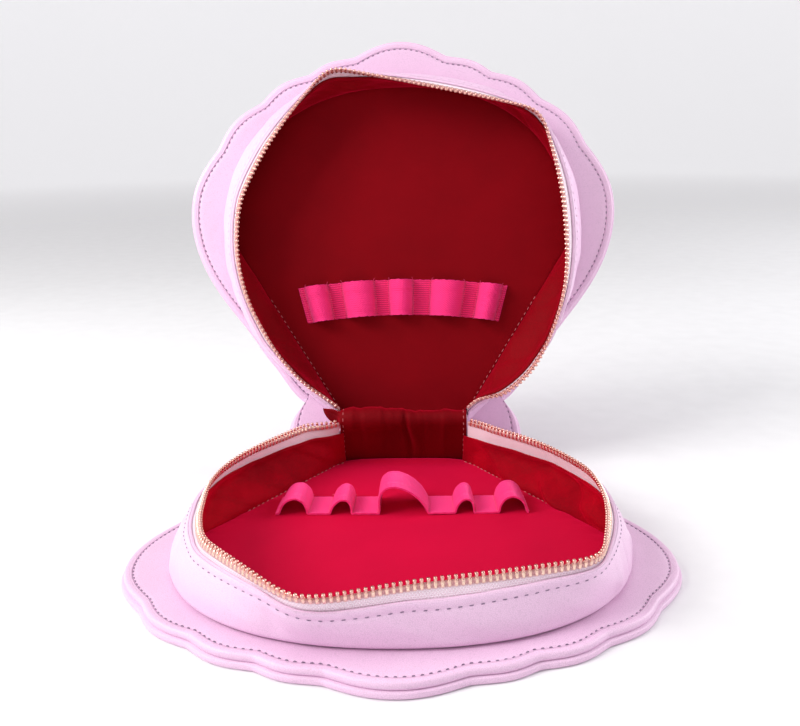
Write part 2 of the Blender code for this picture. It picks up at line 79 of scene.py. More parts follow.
CENTRE_LOBE = rad(26.2)
FIRST_LOBE = rad(13.8)
LOBE_GROWTH = 1.12
FRONT_DROP = 0.0040
SIDE_RISE = 0.0039
SCALLOP = 0.0022
WAIST_RADIUS = 0.0930
WAIST_STARTS = rad(71)
WAIST_ENDS = rad(122)
NECK_STARTS = rad(130)
NECK_ANGLE = rad(145.8)
NECK_RADIUS = 0.0970
EAR_HALF_WIDTH = 0.0635
EAR_CORNER = 0.007
SETBACK = 0.0012
ROUNDING = 0.0013
RIB_HEIGHT = 0.0018
RIB_FOCUS_V = -0.012
WALL_FRONT = EDGE_RADIUS - 0.0205
WALL_SIDE_RISE = 0.0063
WALL_WIDE = rad(50)
WALL_WAIST = rad(122)
WALL_WAIST_RADIUS = WAIST_RADIUS - 0.003
HINGE_MARGIN = 0.002
BELLY = 0.0015
BELLY_PEAK = 6.75  # brings h * (1 - h) ** 2 to 1 at its crown
TAPE = 0.0007
LINING = 0.0008
LEATHER_DROP = 0.0073
FLOOR_MARGIN = 0.0045
SEAM_NORMAL = rad(121.5)
MOUTH_ROUNDING = rad(7)
TAPE_DEPTH = LEATHER + GAP
LINING_DEPTH = TAPE_DEPTH + TAPE + GAP
TOOTH_PITCH = 0.0024
STITCH_INSET = 0.0050
BORDER_INSET = 0.0098
FLAT_INSET = 0.0205
HEM = 0.0036
LINING_END = 1.009
BAND = 0.0008
BAND_WIDTH = 0.0195
TWISTS = 9000.0

rng = np.random.default_rng(7)


def smooth(x):
    x = np.clip(x, 0, 1)
    return x * x * (3 - 2 * x)


def stack3(a, b, c):
    """Three numbers or arrays as one array of 3-vectors."""
    return np.stack(np.broadcast_arrays(a, b, c), -1)


def ripple(x, seed):
    """A smooth wandering value between about -1 and 1; x counts waves."""
    total = 0.0
    for k, (f, g) in enumerate(((1.0, 0.5), (1.73, 0.3), (2.61, 0.2), (4.3, 0.1))):
        total = total + g * np.sin(2 * math.pi * f * x + seed * (1.7 + k) + 2.3 * k)
    return total


class Half:
    def __init__(self, name, corners, slacks, dip, band_v, band_end, loops):
        self.name = name
        self.corners = corners
        self.slacks = slacks
        self.dip = dip
        self.band_v = band_v
        self.band_end = band_end
        self.loops = loops

    def place(self, u, v, w):
        """Half-frame points in the row frame, at rest."""
        if self.name == "base":
            return stack3(u, CENTRE_V - v, HALF_DEPTH - w)
        c, s = math.cos(OPEN_ANGLE), math.sin(OPEN_ANGLE)
        return stack3(u, CENTRE_V - c * v + s * w, HALF_DEPTH + s * v + c * w)

    def turn(self, du, dv, dw):
        """A half-frame direction in the row frame."""
        return self.place(du, dv, dw) - self.place(0.0, 0.0, 0.0)


# a loop is (middle, width, height, lean of its crown)
BASE = Half("base",
            ((-150, 0.0945), (-120, 0.083), (-74, 0.0848), (-51, 0.0955), (-19, 0.1080),
             (43.5, 0.1085), (97, 0.0845), (132, 0.0813)),
            (0, 0.0009, 0.0057, 0.0013, 0.0013, 0.0025, 0.0050, 0.0019, 0), (-16, 0.0032, 14),
            0.057, 0.0575,
            ((-0.0494, 0.0130, 0.0082, 0.10), (-0.0277, 0.0100, 0.0076, 0.25),
             (0.0009, 0.0220, 0.0137, -0.42), (0.0285, 0.0088, 0.0076, 0.20),
             (0.0504, 0.0128, 0.0085, -0.05)))
LID = Half("lid",
           ((-121, 0.0843), (-72, 0.0883), (-21, 0.1035), (45.5, 0.1030), (87, 0.0860),
            (131, 0.0938)),
           (0.0046, 0.0072, 0.0035, 0.0, 0.0025, 0.0053, 0.0046), (0, 0.0, 14),
           0.0605, 0.0540,
           ((-0.0448, 0.0114, 0.0090, 0.0), (-0.0232, 0.0163, 0.0090, 0.0),
            (-0.0009, 0.0122, 0.0088, 0.0), (0.0235, 0.0170, 0.0090, 0.0),
            (0.0456, 0.0112, 0.0090, 0.0)))


def polar(a, r):
    return r * np.sin(a), CENTRE_V + r * np.cos(a)


def chord(a, a0, r0, a1, r1):
    return r0 * r1 * np.sin(a1 - a0) / (r0 * np.sin(a - a0) + r1 * np.sin(a1 - a))


def lobe_share(angle):
    """0 at a notch of the scalloped edge, 1 at a lobe's crown."""
    a = np.abs(angle)
    start = CENTRE_LOBE / 2
    place = 0.5 + a / CENTRE_LOBE
    width = FIRST_LOBE
    for _ in range(3):
        place = np.where(a >= start, (a - start) / width, place)
        start += width
        width *= LOBE_GROWTH
    place = np.where(a >= start, np.minimum((a - start) / CENTRE_LOBE, 0.5), place)
    return np.abs(np.sin(np.pi * place)) ** 1.3


def edge_radius(angle):
    a = np.abs(angle)
    front = CENTRE_LOBE / 2
    line = EDGE_RADIUS - FRONT_DROP + (FRONT_DROP + SIDE_RISE) * smooth((a - front) / (WAIST_STARTS - front))
    share = lobe_share(angle)
    r = line - SCALLOP * smooth(a / CENTRE_LOBE) * (1 - share) + FRONT_DROP * share * (a < front)
    r = r + (WAIST_RADIUS - r) * smooth((a - WAIST_STARTS) / (WAIST_ENDS - WAIST_STARTS))
    return r + (NECK_RADIUS - WAIST_RADIUS) * smooth((a - NECK_STARTS) / (NECK_ANGLE - NECK_STARTS))


def outline(inset, steps=300):
    """The panel's closed outline as (u, v), from the middle of its back edge to the right."""
    a = np.linspace(NECK_ANGLE, 0, steps)
    round_u, round_v = polar(a, edge_radius(a) - inset)
    ear_u, ear_v = EAR_HALF_WIDTH - inset, inset - EAR_LENGTH
    corner = max(EAR_CORNER - inset, 0.002)
    back_u = np.linspace(0, ear_u - corner, 22)[:-1]
    turn = np.linspace(0, math.pi / 2, 14)
    arc_u = ear_u - corner + corner * np.sin(turn)
    arc_v = ear_v + corner - corner * np.cos(turn)
    p0 = np.array([ear_u, ear_v + corner])
    p3 = np.array([round_u[0], round_v[0]])
    p1 = p0 + np.array([0, 0.62 * (p3[1] - p0[1])])
    p2 = p3 + np.array([0.0016, -0.0040])
    s = np.linspace(0, 1, 26)[1:-1, None]
    flare = (1 - s) ** 3 * p0 + 3 * (1 - s) ** 2 * s * p1 + 3 * (1 - s) * s * s * p2 + s ** 3 * p3
    u = np.concatenate([back_u, arc_u, flare[:, 0], round_u])
    v = np.concatenate([np.full(21, ear_v), arc_v, flare[:, 1], round_v])
    return np.stack([np.concatenate([u, -u[-2:0:-1]]), np.concatenate([v, v[-2:0:-1]])], -1)


def spine_v(w):
    return -HINGE_LEAN * (w - RIM_GAP) / (FOOT_W - RIM_GAP)


def hinge_corner(w):
    v = spine_v(w) + HINGE_MARGIN - CENTRE_V
    return np.arctan2(HINGE_WIDTH / 2, v), np.hypot(HINGE_WIDTH / 2, v)


def foot_radius(angle, w):
    a = np.abs(angle)
    r = WALL_FRONT + WALL_SIDE_RISE * smooth(a / WALL_WIDE)
    r = r + (WALL_WAIST_RADIUS - WALL_FRONT - WALL_SIDE_RISE) * smooth((a - WALL_WIDE) / (WALL_WAIST - WALL_WIDE))
    ha, hr = hinge_corner(w)
    return np.where(a > WALL_WAIST, chord(a, WALL_WAIST, WALL_WAIST_RADIUS, ha, hr), r)


def sharp_mouth(half, angle):
    ha, hr = hinge_corner(RIM_GAP)
    corners = [(-ha, hr)] + [(rad(a), r) for a, r in half.corners] + [(ha, hr)]
    a = np.clip(angle, -ha, ha)
    r = np.full(np.shape(a), hr)
    for (a0, r0), (a1, r1), slack in zip(corners, corners[1:], half.slacks):
        s = (a - a0) / (a1 - a0)
        r = np.where((s >= 0) & (s <= 1), chord(a, a0, r0, a1, r1) + 4 * slack * s * (1 - s), r)
    return r


def mouth_radius(half, angle):
    r = sum((5 - abs(i)) * sharp_mouth(half, angle + MOUTH_ROUNDING * i / 5) for i in range(-4, 5)) / 25
    ha, hr = hinge_corner(RIM_GAP)
    return hr + (r - hr) * smooth((ha - np.abs(angle)) / MOUTH_ROUNDING)


def wall_angle(t, w):
    return t * hinge_corner(w)[0]


def rim_w(half, t):
    centre, depth, width = half.dip
    return RIM_GAP + depth * np.exp(-((np.degrees(wall_angle(t, RIM_GAP)) - centre) / width) ** 2)


def wall_radius(half, t, w):
    a = wall_angle(t, w)
    h = np.clip((FOOT_W - w) / (FOOT_W - rim_w(half, t)), 0, 1)
    foot = foot_radius(a, w)
    lean = (mouth_radius(half, wall_angle(t, RIM_GAP)) - foot) * h ** 1.5
    return foot + smooth((1 - np.abs(t)) * 12) * (lean + BELLY * BELLY_PEAK * h * (1 - h) ** 2)


def wall_place(half, t, w, depth):
    a = wall_angle(t, w)
    return half.place(*polar(a, wall_radius(half, t, w) - depth), w)


def seam_radius(angle):
    a = np.abs(angle)
    ha, hr = hinge_corner(FOOT_W)
    reach = (hr - LINING_DEPTH) * math.cos(ha - SEAM_NORMAL)
    front = foot_radius(a, FOOT_W) - FLOOR_MARGIN
    near = np.abs(a - SEAM_NORMAL) <= rad(60)
    return np.where(near, np.minimum(front, (reach - GAP) / np.maximum(np.cos(a - SEAM_NORMAL), 0.2)), front)


def leather_drop(half, t):
    """How far the leather's hem lies below the zip's edge, less where it lies closer to the teeth."""
    first, last = (-0.09, -0.66) if half.name == "base" else (-0.10, -0.80)
    covered = smooth((first - t) / 0.10) * smooth((t - last) / 0.10)
    if half.name == "base":
        covered = covered + smooth((t - 0.05) / 0.25) * smooth((0.75 - t) / 0.2)
    return LEATHER_DROP - 0.0022 * covered + 0.0002 * ripple(6 * t, 3)


def lining_drop(half, t):
    """How far the lining's top edge lies below the zip's edge."""
    if half.name == "lid":
        slack = 1.6 * np.exp(-((t + 0.088) / 0.062) ** 2) + 1.9 * np.exp(-((t - 0.315) / 0.060) ** 2)
        return 0.0052 + 0.0044 * slack + 0.0004 * ripple(3 * t, 2)
    back = smooth((np.abs(t) - 0.30) / 0.25)
    return 0.0062 + back * np.where(t > 0, 0.0044, 0.0021) + 0.0004 * ripple(4 * t, 5)


def lining_radius(half, t, w, bottom, top):
    on_wall = wall_radius(half, t, w) - LINING_DEPTH
    on_seam = seam_radius(wall_angle(t, w)) + 0.0001
    rise = smooth((bottom - w) / (bottom - top) * 1.15)
    return np.minimum(on_wall, on_seam + (on_wall - on_seam) * rise)


# mesh building

def linked(name, data):
    """A new object in the scene's collection."""
    obj = bpy.data.objects.new(name, data)
    bpy.context.collection.objects.link(obj)
    return obj


def finish_mesh(name, points, faces, mat, body, cloth=None, extra=None):
    """An object from points and faces, facing out, riding on its body."""
    triangles = np.array([(f[0], f[i], f[i + 1]) for f in faces for i in range(1, len(f) - 1)])
    p, q, r = points[triangles.T]
    if np.einsum("ij,ij->i", p - points.mean(0), np.cross(q - p, r - p)).sum() < 0:
        faces = [f[::-1] for f in faces]
    mesh = bpy.data.meshes.new(name)
    mesh.from_pydata(points.tolist(), [], faces)
    if cloth is not None:
        layer = mesh.attributes.new("cloth", "FLOAT_VECTOR", "POINT")
        layer.data.foreach_set("vector", np.asarray(cloth, np.float32).reshape(-1))
    if extra is not None:
        layer = mesh.attributes.new("part", "FLOAT", "POINT")
        layer.data.foreach_set("value", np.asarray(extra, np.float32).reshape(-1))
    mesh.validate()
    mesh.materials.append(mat)
    mesh.shade_smooth()
    obj = linked(name, mesh)
    if body is not None:
        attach(obj, body)
    return obj


def skin(n, m, copies=1):
    """The faces over n closed rings of m points with both ends capped, for each of the copies in turn."""
    low = np.arange(n - 1)[:, None] * m
    j = np.arange(m)
    k = (j + 1) % m
    faces = np.stack([low + j, low + k, low + m + k, low + m + j], -1).reshape(-1, 4).tolist()
    faces += [list(range(m))[::-1], list(range((n - 1) * m, n * m))]
    return [[v + n * m * c for v in f] for c in range(copies) for f in faces]


def tube(name, rings, mat, body, cloth=None, extra=None):
    """A closed skin through equal closed rings: rings is (sections, ring points, 3)."""
    return finish_mesh(name, rings.reshape(-1, 3), skin(*rings.shape[:2]), mat, body,
                       None if cloth is None else np.broadcast_to(cloth, rings.shape).reshape(-1, 3),
                       None if extra is None else np.broadcast_to(extra, rings.shape[:2]).reshape(-1))


def unit(x):
    return x / np.maximum(np.linalg.norm(x, axis=-1, keepdims=True), 1e-12)


def along(path):
    """Running length of a path."""
    step = np.linalg.norm(np.diff(path, axis=0), axis=1)
    return np.concatenate([[0], np.cumsum(step)])


def spaced(path, normals, pitch, margin=0.0):
    """Even places on a path: points, tangents and normals."""
    run = along(path)
    count = int((run[-1] - 2 * margin) / pitch)
    at = margin + (np.arange(count) + 0.5) * (run[-1] - 2 * margin) / count
    point = np.stack([np.interp(at, run, path[:, c]) for c in range(3)], -1)
    ahead = np.stack([np.interp(at + 1e-4, run, path[:, c]) for c in range(3)], -1)
    normal = unit(np.stack([np.interp(at, run, normals[:, c]) for c in range(3)], -1))
    return point, unit(ahead - point), normal


def capsules(name, point, tangent, normal, length, radius, mat, body, skew=0.05, wobble=0.05):
    """One mesh of small thread stitches that dip into the surface at both ends."""
    tangent = unit(tangent + skew * unit(np.cross(normal, tangent)))
    side = unit(np.cross(normal, tangent))
    count = len(point)
    turn = rng.normal(0, wobble, count)[:, None]
    tangent = unit(tangent + turn * side)
    side = unit(np.cross(normal, tangent))
    s = np.linspace(-1, 1, 7)
    arch = (1 - s ** 2) * radius * 1.2 - radius * 0.55 - 0.25 * radius * (np.abs(s) > 0.9)
    thick = radius * np.clip(np.sqrt(np.maximum(1 - np.abs(s) ** 5, 0)), 0.35, 1)
    turn6 = np.arange(6) * math.pi / 3
    size = length * (1 + rng.normal(0, 0.04, count))
    centre = (point[:, None] + tangent[:, None] * (s[None, :, None] * size[:, None, None] / 2)
              + normal[:, None] * arch[None, :, None])
    cos6, sin6 = np.cos(turn6)[None, None, :, None], np.sin(turn6)[None, None, :, None]
    thick = thick[None, :, None, None]
    ring = centre[:, :, None] + side[:, None, None] * cos6 * thick + normal[:, None, None] * sin6 * thick
    local = np.zeros((count, 7, 6, 3))
    local[..., 0] = (s * length / 2)[None, :, None] + np.arange(count)[:, None, None] * length
    local[..., 1] = np.sin(turn6)[None, None, :] * radius
    return finish_mesh(name, ring.reshape(-1, 3), skin(7, 6, count), mat, body, local.reshape(-1, 3))


# materials

def nodes_of(name):
    mat = bpy.data.materials.new(name)
    mat.use_nodes = True
    tree = mat.node_tree
    return mat, tree, tree.nodes["Principled BSDF"]


def add(tree, kind, **values):
    node = tree.nodes.new(kind)
    for key, value in values.items():
        setattr(node, key, value)
    return node


def fill(node, **values):
    """Set sockets by name, with an underscore for each space."""
    for key, value in values.items():
        node.inputs[key.replace("_", " ")].default_value = value


def ramp(tree, source, stops):
    node = tree.nodes.new("ShaderNodeValToRGB")
    tree.links.new(source, node.inputs["Fac"])
    line = node.color_ramp
    while len(line.elements) < len(stops):
        line.elements.new(0.5)
    for element, (at, colour) in zip(line.elements, stops):
        element.position = at
        element.color = (*colour, 1.0)
    return node.outputs["Color"]


def grey(tree, source, low_in, high_in, low_out, high_out):
    node = add(tree, "ShaderNodeMapRange")
    tree.links.new(source, node.inputs["Value"])
    fill(node, From_Min=low_in, From_Max=high_in, To_Min=low_out, To_Max=high_out)
    return node.outputs["Result"]


def maths(tree, operation, a, b=None, c=None):
    node = add(tree, "ShaderNodeMath", operation=operation)
    for socket, value in zip(node.inputs, (a, b, c)):
        if value is None:
            continue
        if isinstance(value, (int, float)):
            socket.default_value = value
        else:
            tree.links.new(value, socket)
    return node.outputs[0]


def mix(tree, factor, a, b, blend="MIX"):
    node = add(tree, "ShaderNodeMix", data_type="RGBA", blend_type=blend)
    for socket, value in ((node.inputs["Factor"], factor), (node.inputs[6], a), (node.inputs[7], b)):
        if isinstance(value, (int, float)):
            socket.default_value = value
        elif isinstance(value, tuple):
            socket.default_value = (*value, 1.0)
        else:
            tree.links.new(value, socket)
    return node.outputs[2]


def coordinates(tree):
    return add(tree, "ShaderNodeTexCoord").outputs["Object"]


def attribute(tree, name, output="Vector"):
    return add(tree, "ShaderNodeAttribute", attribute_name=name).outputs[output]


def split(tree, vector):
    node = add(tree, "ShaderNodeSeparateXYZ")
    tree.links.new(vector, node.inputs[0])
    return node.outputs


def noise(tree, vector, scale, detail=3.0, roughness=0.5):
    node = add(tree, "ShaderNodeTexNoise")
    tree.links.new(vector, node.inputs["Vector"])
    fill(node, Scale=scale, Detail=detail, Roughness=roughness)
    return node.outputs["Fac"]


def bump(tree, shader, height, strength, distance, before=None):
    node = add(tree, "ShaderNodeBump")
    fill(node, Strength=strength, Distance=distance)
    tree.links.new(height, node.inputs["Height"])
    if before is not None:
        tree.links.new(before, node.inputs["Normal"])
    tree.links.new(node.outputs["Normal"], shader.inputs["Normal"])
    return node.outputs["Normal"]


def leatherette(name, colour, deep, roughness):
    """Soft coated leather with a fine pebble, mottled a little."""
    mat, tree, shader = nodes_of(name)
    place = coordinates(tree)
    pebble = add(tree, "ShaderNodeTexVoronoi", feature="DISTANCE_TO_EDGE")
    tree.links.new(place, pebble.inputs["Vector"])
    fill(pebble, Scale=1500)
    fine = noise(tree, place, 4200, 2)
    broad = noise(tree, place, 22, 3, 0.55)
    smudge = noise(tree, place, 160, 4, 0.6)
    tone = maths(tree, "ADD", maths(tree, "MULTIPLY", broad, 0.7), maths(tree, "MULTIPLY", smudge, 0.3))
    body = ramp(tree, tone, ((0.34, deep), (0.66, colour)))
    # Darker in the grooves between the pebbles.
    pores = grey(tree, pebble.outputs["Distance"], 0.0, 0.12, 0.0, 1.0)
    groove_darkened = mix(tree, pores, tuple(c * 0.86 for c in deep), body)
    tree.links.new(groove_darkened, shader.inputs["Base Color"])
    tree.links.new(grey(tree, smudge, 0.3, 0.7, roughness - 0.05, roughness + 0.07), shader.inputs["Roughness"])
    fill(shader, Specular_IOR_Level=0.42)
    first = bump(tree, shader, pores, 0.22, 0.00006)
    second = bump(tree, shader, fine, 0.15, 0.00003, first)
    bump(tree, shader, smudge, 0.35, 0.00012, second)
    return mat


def weave(tree, warp, weft, parts):
    """Plain weave height from two sets of threads, warp and weft a metre."""
    a = maths(tree, "MULTIPLY", parts[0], warp)
    b = maths(tree, "MULTIPLY", parts[1], weft)
    over = maths(tree, "SINE", maths(tree, "MULTIPLY", a, 2 * math.pi))
    under = maths(tree, "SINE", maths(tree, "MULTIPLY", b, 2 * math.pi))
    cross = maths(tree, "MULTIPLY", maths(tree, "SINE", maths(tree, "MULTIPLY", a, math.pi)),
                  maths(tree, "SINE", maths(tree, "MULTIPLY", b, math.pi)))
    return over, under, cross


def cloth_material(name, colour, deep, roughness, warp, weft, sheen, sheen_colour, height, mottled=0.35, rib=0.0,
                   rib_count=0.0, specular=0.30, sheen_roughness=0.35, cord=0.0):
    """Woven cloth whose threads follow its own length and width."""
    mat, tree, shader = nodes_of(name)
    place = coordinates(tree)
    parts = split(tree, attribute(tree, "cloth"))
    over, under, cross = weave(tree, warp, weft, parts)
    broad = noise(tree, place, 30, 3)
    fuzz = noise(tree, place, 1500, 3, 0.7)
    thread = maths(tree, "MULTIPLY_ADD", cross, 0.5, 0.5)
    tone = maths(tree, "ADD", maths(tree, "MULTIPLY", broad, mottled),
                 maths(tree, "MULTIPLY", thread, 1 - mottled))
    tone = maths(tree, "MULTIPLY_ADD", fuzz, 0.30, maths(tree, "MULTIPLY", tone, 0.85))
    body = ramp(tree, tone, ((0.30, deep), (0.80, colour)))
    level = maths(tree, "MULTIPLY_ADD", fuzz, 0.5, maths(tree, "ADD", over, under))
    if rib:
        wave = maths(tree, "SINE", maths(tree, "MULTIPLY", parts[1], 2 * math.pi * rib_count))
        # Painted shade: the rib grooves are coloured darker where the part attribute asks, on the lid band's flats
        # between the loops.
        rib_shade_share = attribute(tree, "part", "Fac")
        groove = maths(tree, "MULTIPLY_ADD", wave, 0.5, 0.5)
        dark = maths(tree, "MULTIPLY_ADD", fuzz, 0.7, maths(tree, "SUBTRACT", 0.75, groove))
        dark = maths(tree, "MULTIPLY", dark, rib_shade_share)
        body = mix(tree, dark, body, mix(tree, 1.0, body, (1 - rib, 0.35, 0.45), "MULTIPLY"))
        level = maths(tree, "MULTIPLY_ADD", wave, 1.6, level)
    if cord:
        # Painted shade: the cloth is coloured rose-brown within the cord's reach of the edge, as the shade between
        # the teeth.
        unshaded_share = grey(tree, parts[1], cord, cord + 0.0010, 0.0, 1.0)
        body = mix(tree, unshaded_share, mix(tree, 1.0, body, (0.66, 0.40, 0.36), "MULTIPLY"), body)
    tree.links.new(body, shader.inputs["Base Color"])
    tree.links.new(grey(tree, fuzz, 0.3, 0.7, roughness - 0.06, roughness + 0.08), shader.inputs["Roughness"])
    fill(shader, Specular_IOR_Level=specular, Sheen_Weight=sheen, Sheen_Roughness=sheen_roughness,
         Sheen_Tint=(*sheen_colour, 1.0))
    bump(tree, shader, level, 0.5, height)
    return mat


def gold_material(name, head, leg, roughness):
    """Rose gold plating, redder on the polished heads, paler down the legs."""
    mat, tree, shader = nodes_of(name)
    place = coordinates(tree)
    part = attribute(tree, "part", "Fac")
    wear = noise(tree, place, 900, 4, 0.6)
    shade = maths(tree, "ADD", part, maths(tree, "MULTIPLY_ADD", wear, 0.5, -0.25))
    tree.links.new(ramp(tree, shade, ((0.15, head), (0.75, leg))), shader.inputs["Base Color"])
    tree.links.new(grey(tree, wear, 0.3, 0.7, roughness - 0.06, roughness + 0.12), shader.inputs["Roughness"])
    fill(shader, Metallic=1.0)
    bump(tree, shader, noise(tree, place, 2600, 3), 0.2, 0.00003)
    return mat


def thread_material(name, colour, deep):
    """Twisted sewing thread."""
    mat, tree, shader = nodes_of(name)
    place = coordinates(tree)
    parts = split(tree, attribute(tree, "cloth"))
    twist = maths(tree, "SINE", maths(tree, "ADD", maths(tree, "MULTIPLY", parts[0], TWISTS),
                                      maths(tree, "MULTIPLY", parts[1], TWISTS)))
    fuzz = noise(tree, place, 3000, 3)
    tone = maths(tree, "MULTIPLY_ADD", twist, 0.25, fuzz)
    tree.links.new(ramp(tree, tone, ((0.25, deep), (0.75, colour))), shader.inputs["Base Color"])
    tree.links.new(grey(tree, fuzz, 0.3, 0.7, 0.5, 0.75), shader.inputs["Roughness"])
    fill(shader, Sheen_Weight=0.2)
    bump(tree, shader, twist, 0.6, 0.00004)
    return mat


PANEL_SKIN = leatherette("lilac leatherette", (0.825, 0.572, 0.757), (0.785, 0.522, 0.715), 0.42)
WALL_SKIN = leatherette("pale lilac leatherette", (0.840, 0.585, 0.772), (0.800, 0.535, 0.730), 0.38)
# Painted shade: the tape is darker within 3.6 mm of the zip's edge, for the shade between the teeth.
TAPE_CLOTH = cloth_material("pink zip tape", (0.98, 0.84, 0.92), (0.91, 0.68, 0.79), 0.75, 1700, 1300, 0.60,
                            (1.0, 0.90, 0.96), 0.00014, 0.2, cord=0.0036)
RED_SATIN = cloth_material("red satin lining", (0.235, 0.0009, 0.0050), (0.170, 0.0006, 0.0035), 0.60, 4200, 3600,
                           0.8, (1.0, 0.010, 0.060), 0.00002, 0.75, specular=0.05, sheen_roughness=0.45)
# Painted light: a brighter copy of the red satin, a painted sheen for the base floor.
RED_SATIN_PAINTED_SHEEN = cloth_material("red satin lining with the nap", (0.520, 0.0020, 0.0260), (0.400, 0.0014, 0.0180),
                               0.60, 4200, 3600, 1.0, (1.0, 0.012, 0.110), 0.00002, 0.75, specular=0.05,
                               sheen_roughness=0.50)
# Painted light: a brighter copy of the red satin for the base wall, as if lit by the key light.
RED_SATIN_PAINTED_LIT = cloth_material("red satin lining of the base wall", (0.440, 0.0010, 0.0110),
                                (0.060, 0.0003, 0.0016), 0.60, 4200, 3600, 0.9, (1.0, 0.008, 0.050), 0.00002, 0.75,
                                specular=0.03, sheen_roughness=0.45)
# Painted shade: a darker copy of the red satin for the spine.
RED_SATIN_PAINTED_SHADE = cloth_material("red satin lining of the spine", (0.190, 0.0007, 0.0040), (0.110, 0.0004, 0.0024),
                                 0.60, 4200, 3600, 0.8, (1.0, 0.008, 0.050), 0.00002, 0.85, specular=0.05,
                                 sheen_roughness=0.40)
# Its rib colour paints shade into the grooves of the lid band's flats.
PINK_ELASTIC = cloth_material("hot pink elastic", (1.00, 0.038, 0.250), (0.93, 0.022, 0.170), 0.62, 1500, 1740,
                              0.75, (1.0, 0.22, 0.50), 0.00012, 0.25, 0.36, 870.0, specular=0.2)
ROSE_GOLD = gold_material("rose gold teeth", (0.80, 0.45, 0.38), (0.92, 0.66, 0.53), 0.26)
# Painted shade: dark thread for the shade at the stitch holes; the thread itself is lilac like the leather.
SEAM_THREAD_PAINTED_SHADE = thread_material("grey mauve thread", (0.30, 0.19, 0.31), (0.18, 0.11, 0.19))
PALE_THREAD = thread_material("pale lilac thread", (0.80, 0.58, 0.74), (0.66, 0.44, 0.60))
RED_THREAD = thread_material("dusty red thread", (0.66, 0.17, 0.19), (0.42, 0.07, 0.08))
PINK_THREAD = thread_material("pink thread", (0.98, 0.07, 0.26), (0.80, 0.03, 0.16))


# panels

def groove(inset):
    """The dent that a row of stitches pulls into a padded ply."""
    return -0.00028 * np.exp(-((inset - STITCH_INSET) / 0.0007) ** 2)


def edge_rows(first_inset, far):
    """Insets from the edge inwards, close together at the rounding and the stitches."""
    turn = np.linspace(0, math.pi / 2, 6)
    rounding = [(first_inset + ROUNDING * (1 - math.cos(x)), ROUNDING * (1 - math.sin(x))) for x in turn]
    puff_width = STITCH_INSET - first_inset
    flat = [first_inset + ROUNDING + x for x in (0.0008, 0.0016, 0.0024)]
    flat += [STITCH_INSET + x * 0.0004 for x in range(-3, 4)] + [0.0078, 0.0095, 0.0125, 0.016, 0.020]
    flat = np.array([i for i in flat if i <= far])
    puff = 0.00008 * np.sin(math.pi * np.clip((flat - first_inset) / puff_width, 0, 1)) ** 0.8
    return rounding + list(zip(flat, -puff - groove(flat)))


def shrink(points, share, centre):
    return centre + (points - centre) * share


def inner_panel(half):
    """The inner ply, with its rounded edge and its stitched flange."""
    back = PANEL_W + INNER_PLY
    flats, heights = [outline(SETBACK + 0.0003), outline(SETBACK)], [back, back - 0.0004]
    for inset, down in edge_rows(SETBACK, FLAT_INSET):
        flats.append(outline(inset))
        heights.append(PANEL_W + down)
    centre = np.array([0.0, 0.070])
    inside = outline(FLAT_INSET)
    for share in (0.9, 0.72, 0.5, 0.28, 0.1):
        flats.append(shrink(inside, share, centre))
        heights.append(PANEL_W)
    rings = []
    for flat, w in zip(flats, heights):
        sway = 0.00012 * ripple(np.arctan2(flat[:, 0], flat[:, 1] - CENTRE_V) * 2.2, 3 + len(half.name))
        inside_share = min(max((back - w) / INNER_PLY, 0), 1)
        rings.append(half.place(flat[:, 0], flat[:, 1], w + sway * inside_share))
    obj = tube(f"{half.name}_flange_ply", np.array(rings), PANEL_SKIN, half.name)
    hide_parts(f"{half.name}_inner_panel")


def rib_rise(share):
    """Height along a rib, from the sewn border in to the focus."""
    return np.interp(share, (0.0, 0.18, 0.36, 0.55, 0.72, 0.84, 0.89, 0.925, 0.945, 1.0),
                     (0.0, 0.0, 0.45, 0.86, 0.99, 0.98, 0.78, 0.22, 0.0, 0.0))


def outer_panel(half):
    """The outer ply: flat under the base, padded in ribs on the lid."""
    top = HALF_DEPTH - OUTER_PLY
    focus = np.array([0.0, RIB_FOCUS_V])
    flats, heights = [outline(0.0003), outline(0.0)], [top, top + 0.0004]
    for inset, down in edge_rows(0.0, BORDER_INSET):
        flats.append(outline(inset))
        heights.append(HALF_DEPTH - down)
    edge = outline(0.0)
    angle = np.arctan2(edge[:, 0], edge[:, 1] - CENTRE_V)
    swell = lobe_share(angle) ** 0.75 * (1 - smooth((np.abs(angle) - WAIST_STARTS) / 0.9))
    start = outline(BORDER_INSET)
    for share in np.concatenate([np.linspace(0.985, 0.80, 12), np.linspace(0.76, 0.06, 22)]):
        flats.append(shrink(start, share, focus))
        lift = RIB_HEIGHT * rib_rise(share * 0.93) * swell if half.name == "lid" else 0.0
        heights.append(HALF_DEPTH + lift)
    rings = np.array([half.place(f[:, 0], f[:, 1], h) for f, h in zip(flats, heights)])
    obj = tube(f"{half.name}_shell_ply", rings, PANEL_SKIN, half.name)
    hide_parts(f"{half.name}_outer_panel")


def flange_stitches(half):
    """Stitches through both plies, seen on both faces."""
    flat = outline(STITCH_INSET, 500)
    for face, w, side in (("inside", PANEL_W + 0.00022, -1.0), ("outside", HALF_DEPTH - 0.00050, 1.0)):
        path = half.place(flat[:, 0], flat[:, 1], w)
        path = np.concatenate([path, path[:1]])
        normal = np.broadcast_to(half.turn(0.0, 0.0, side), path.shape)
        point, tangent, normal = spaced(path, normal, 0.0030)
        # The dark thread here is painted shade at the stitch holes.
        capsules(f"{half.name}_flange_stitches_{face}", point, tangent, normal, 0.0015, 0.00024, SEAM_THREAD_PAINTED_SHADE,
                 half.name, skew=0.06)


# walls

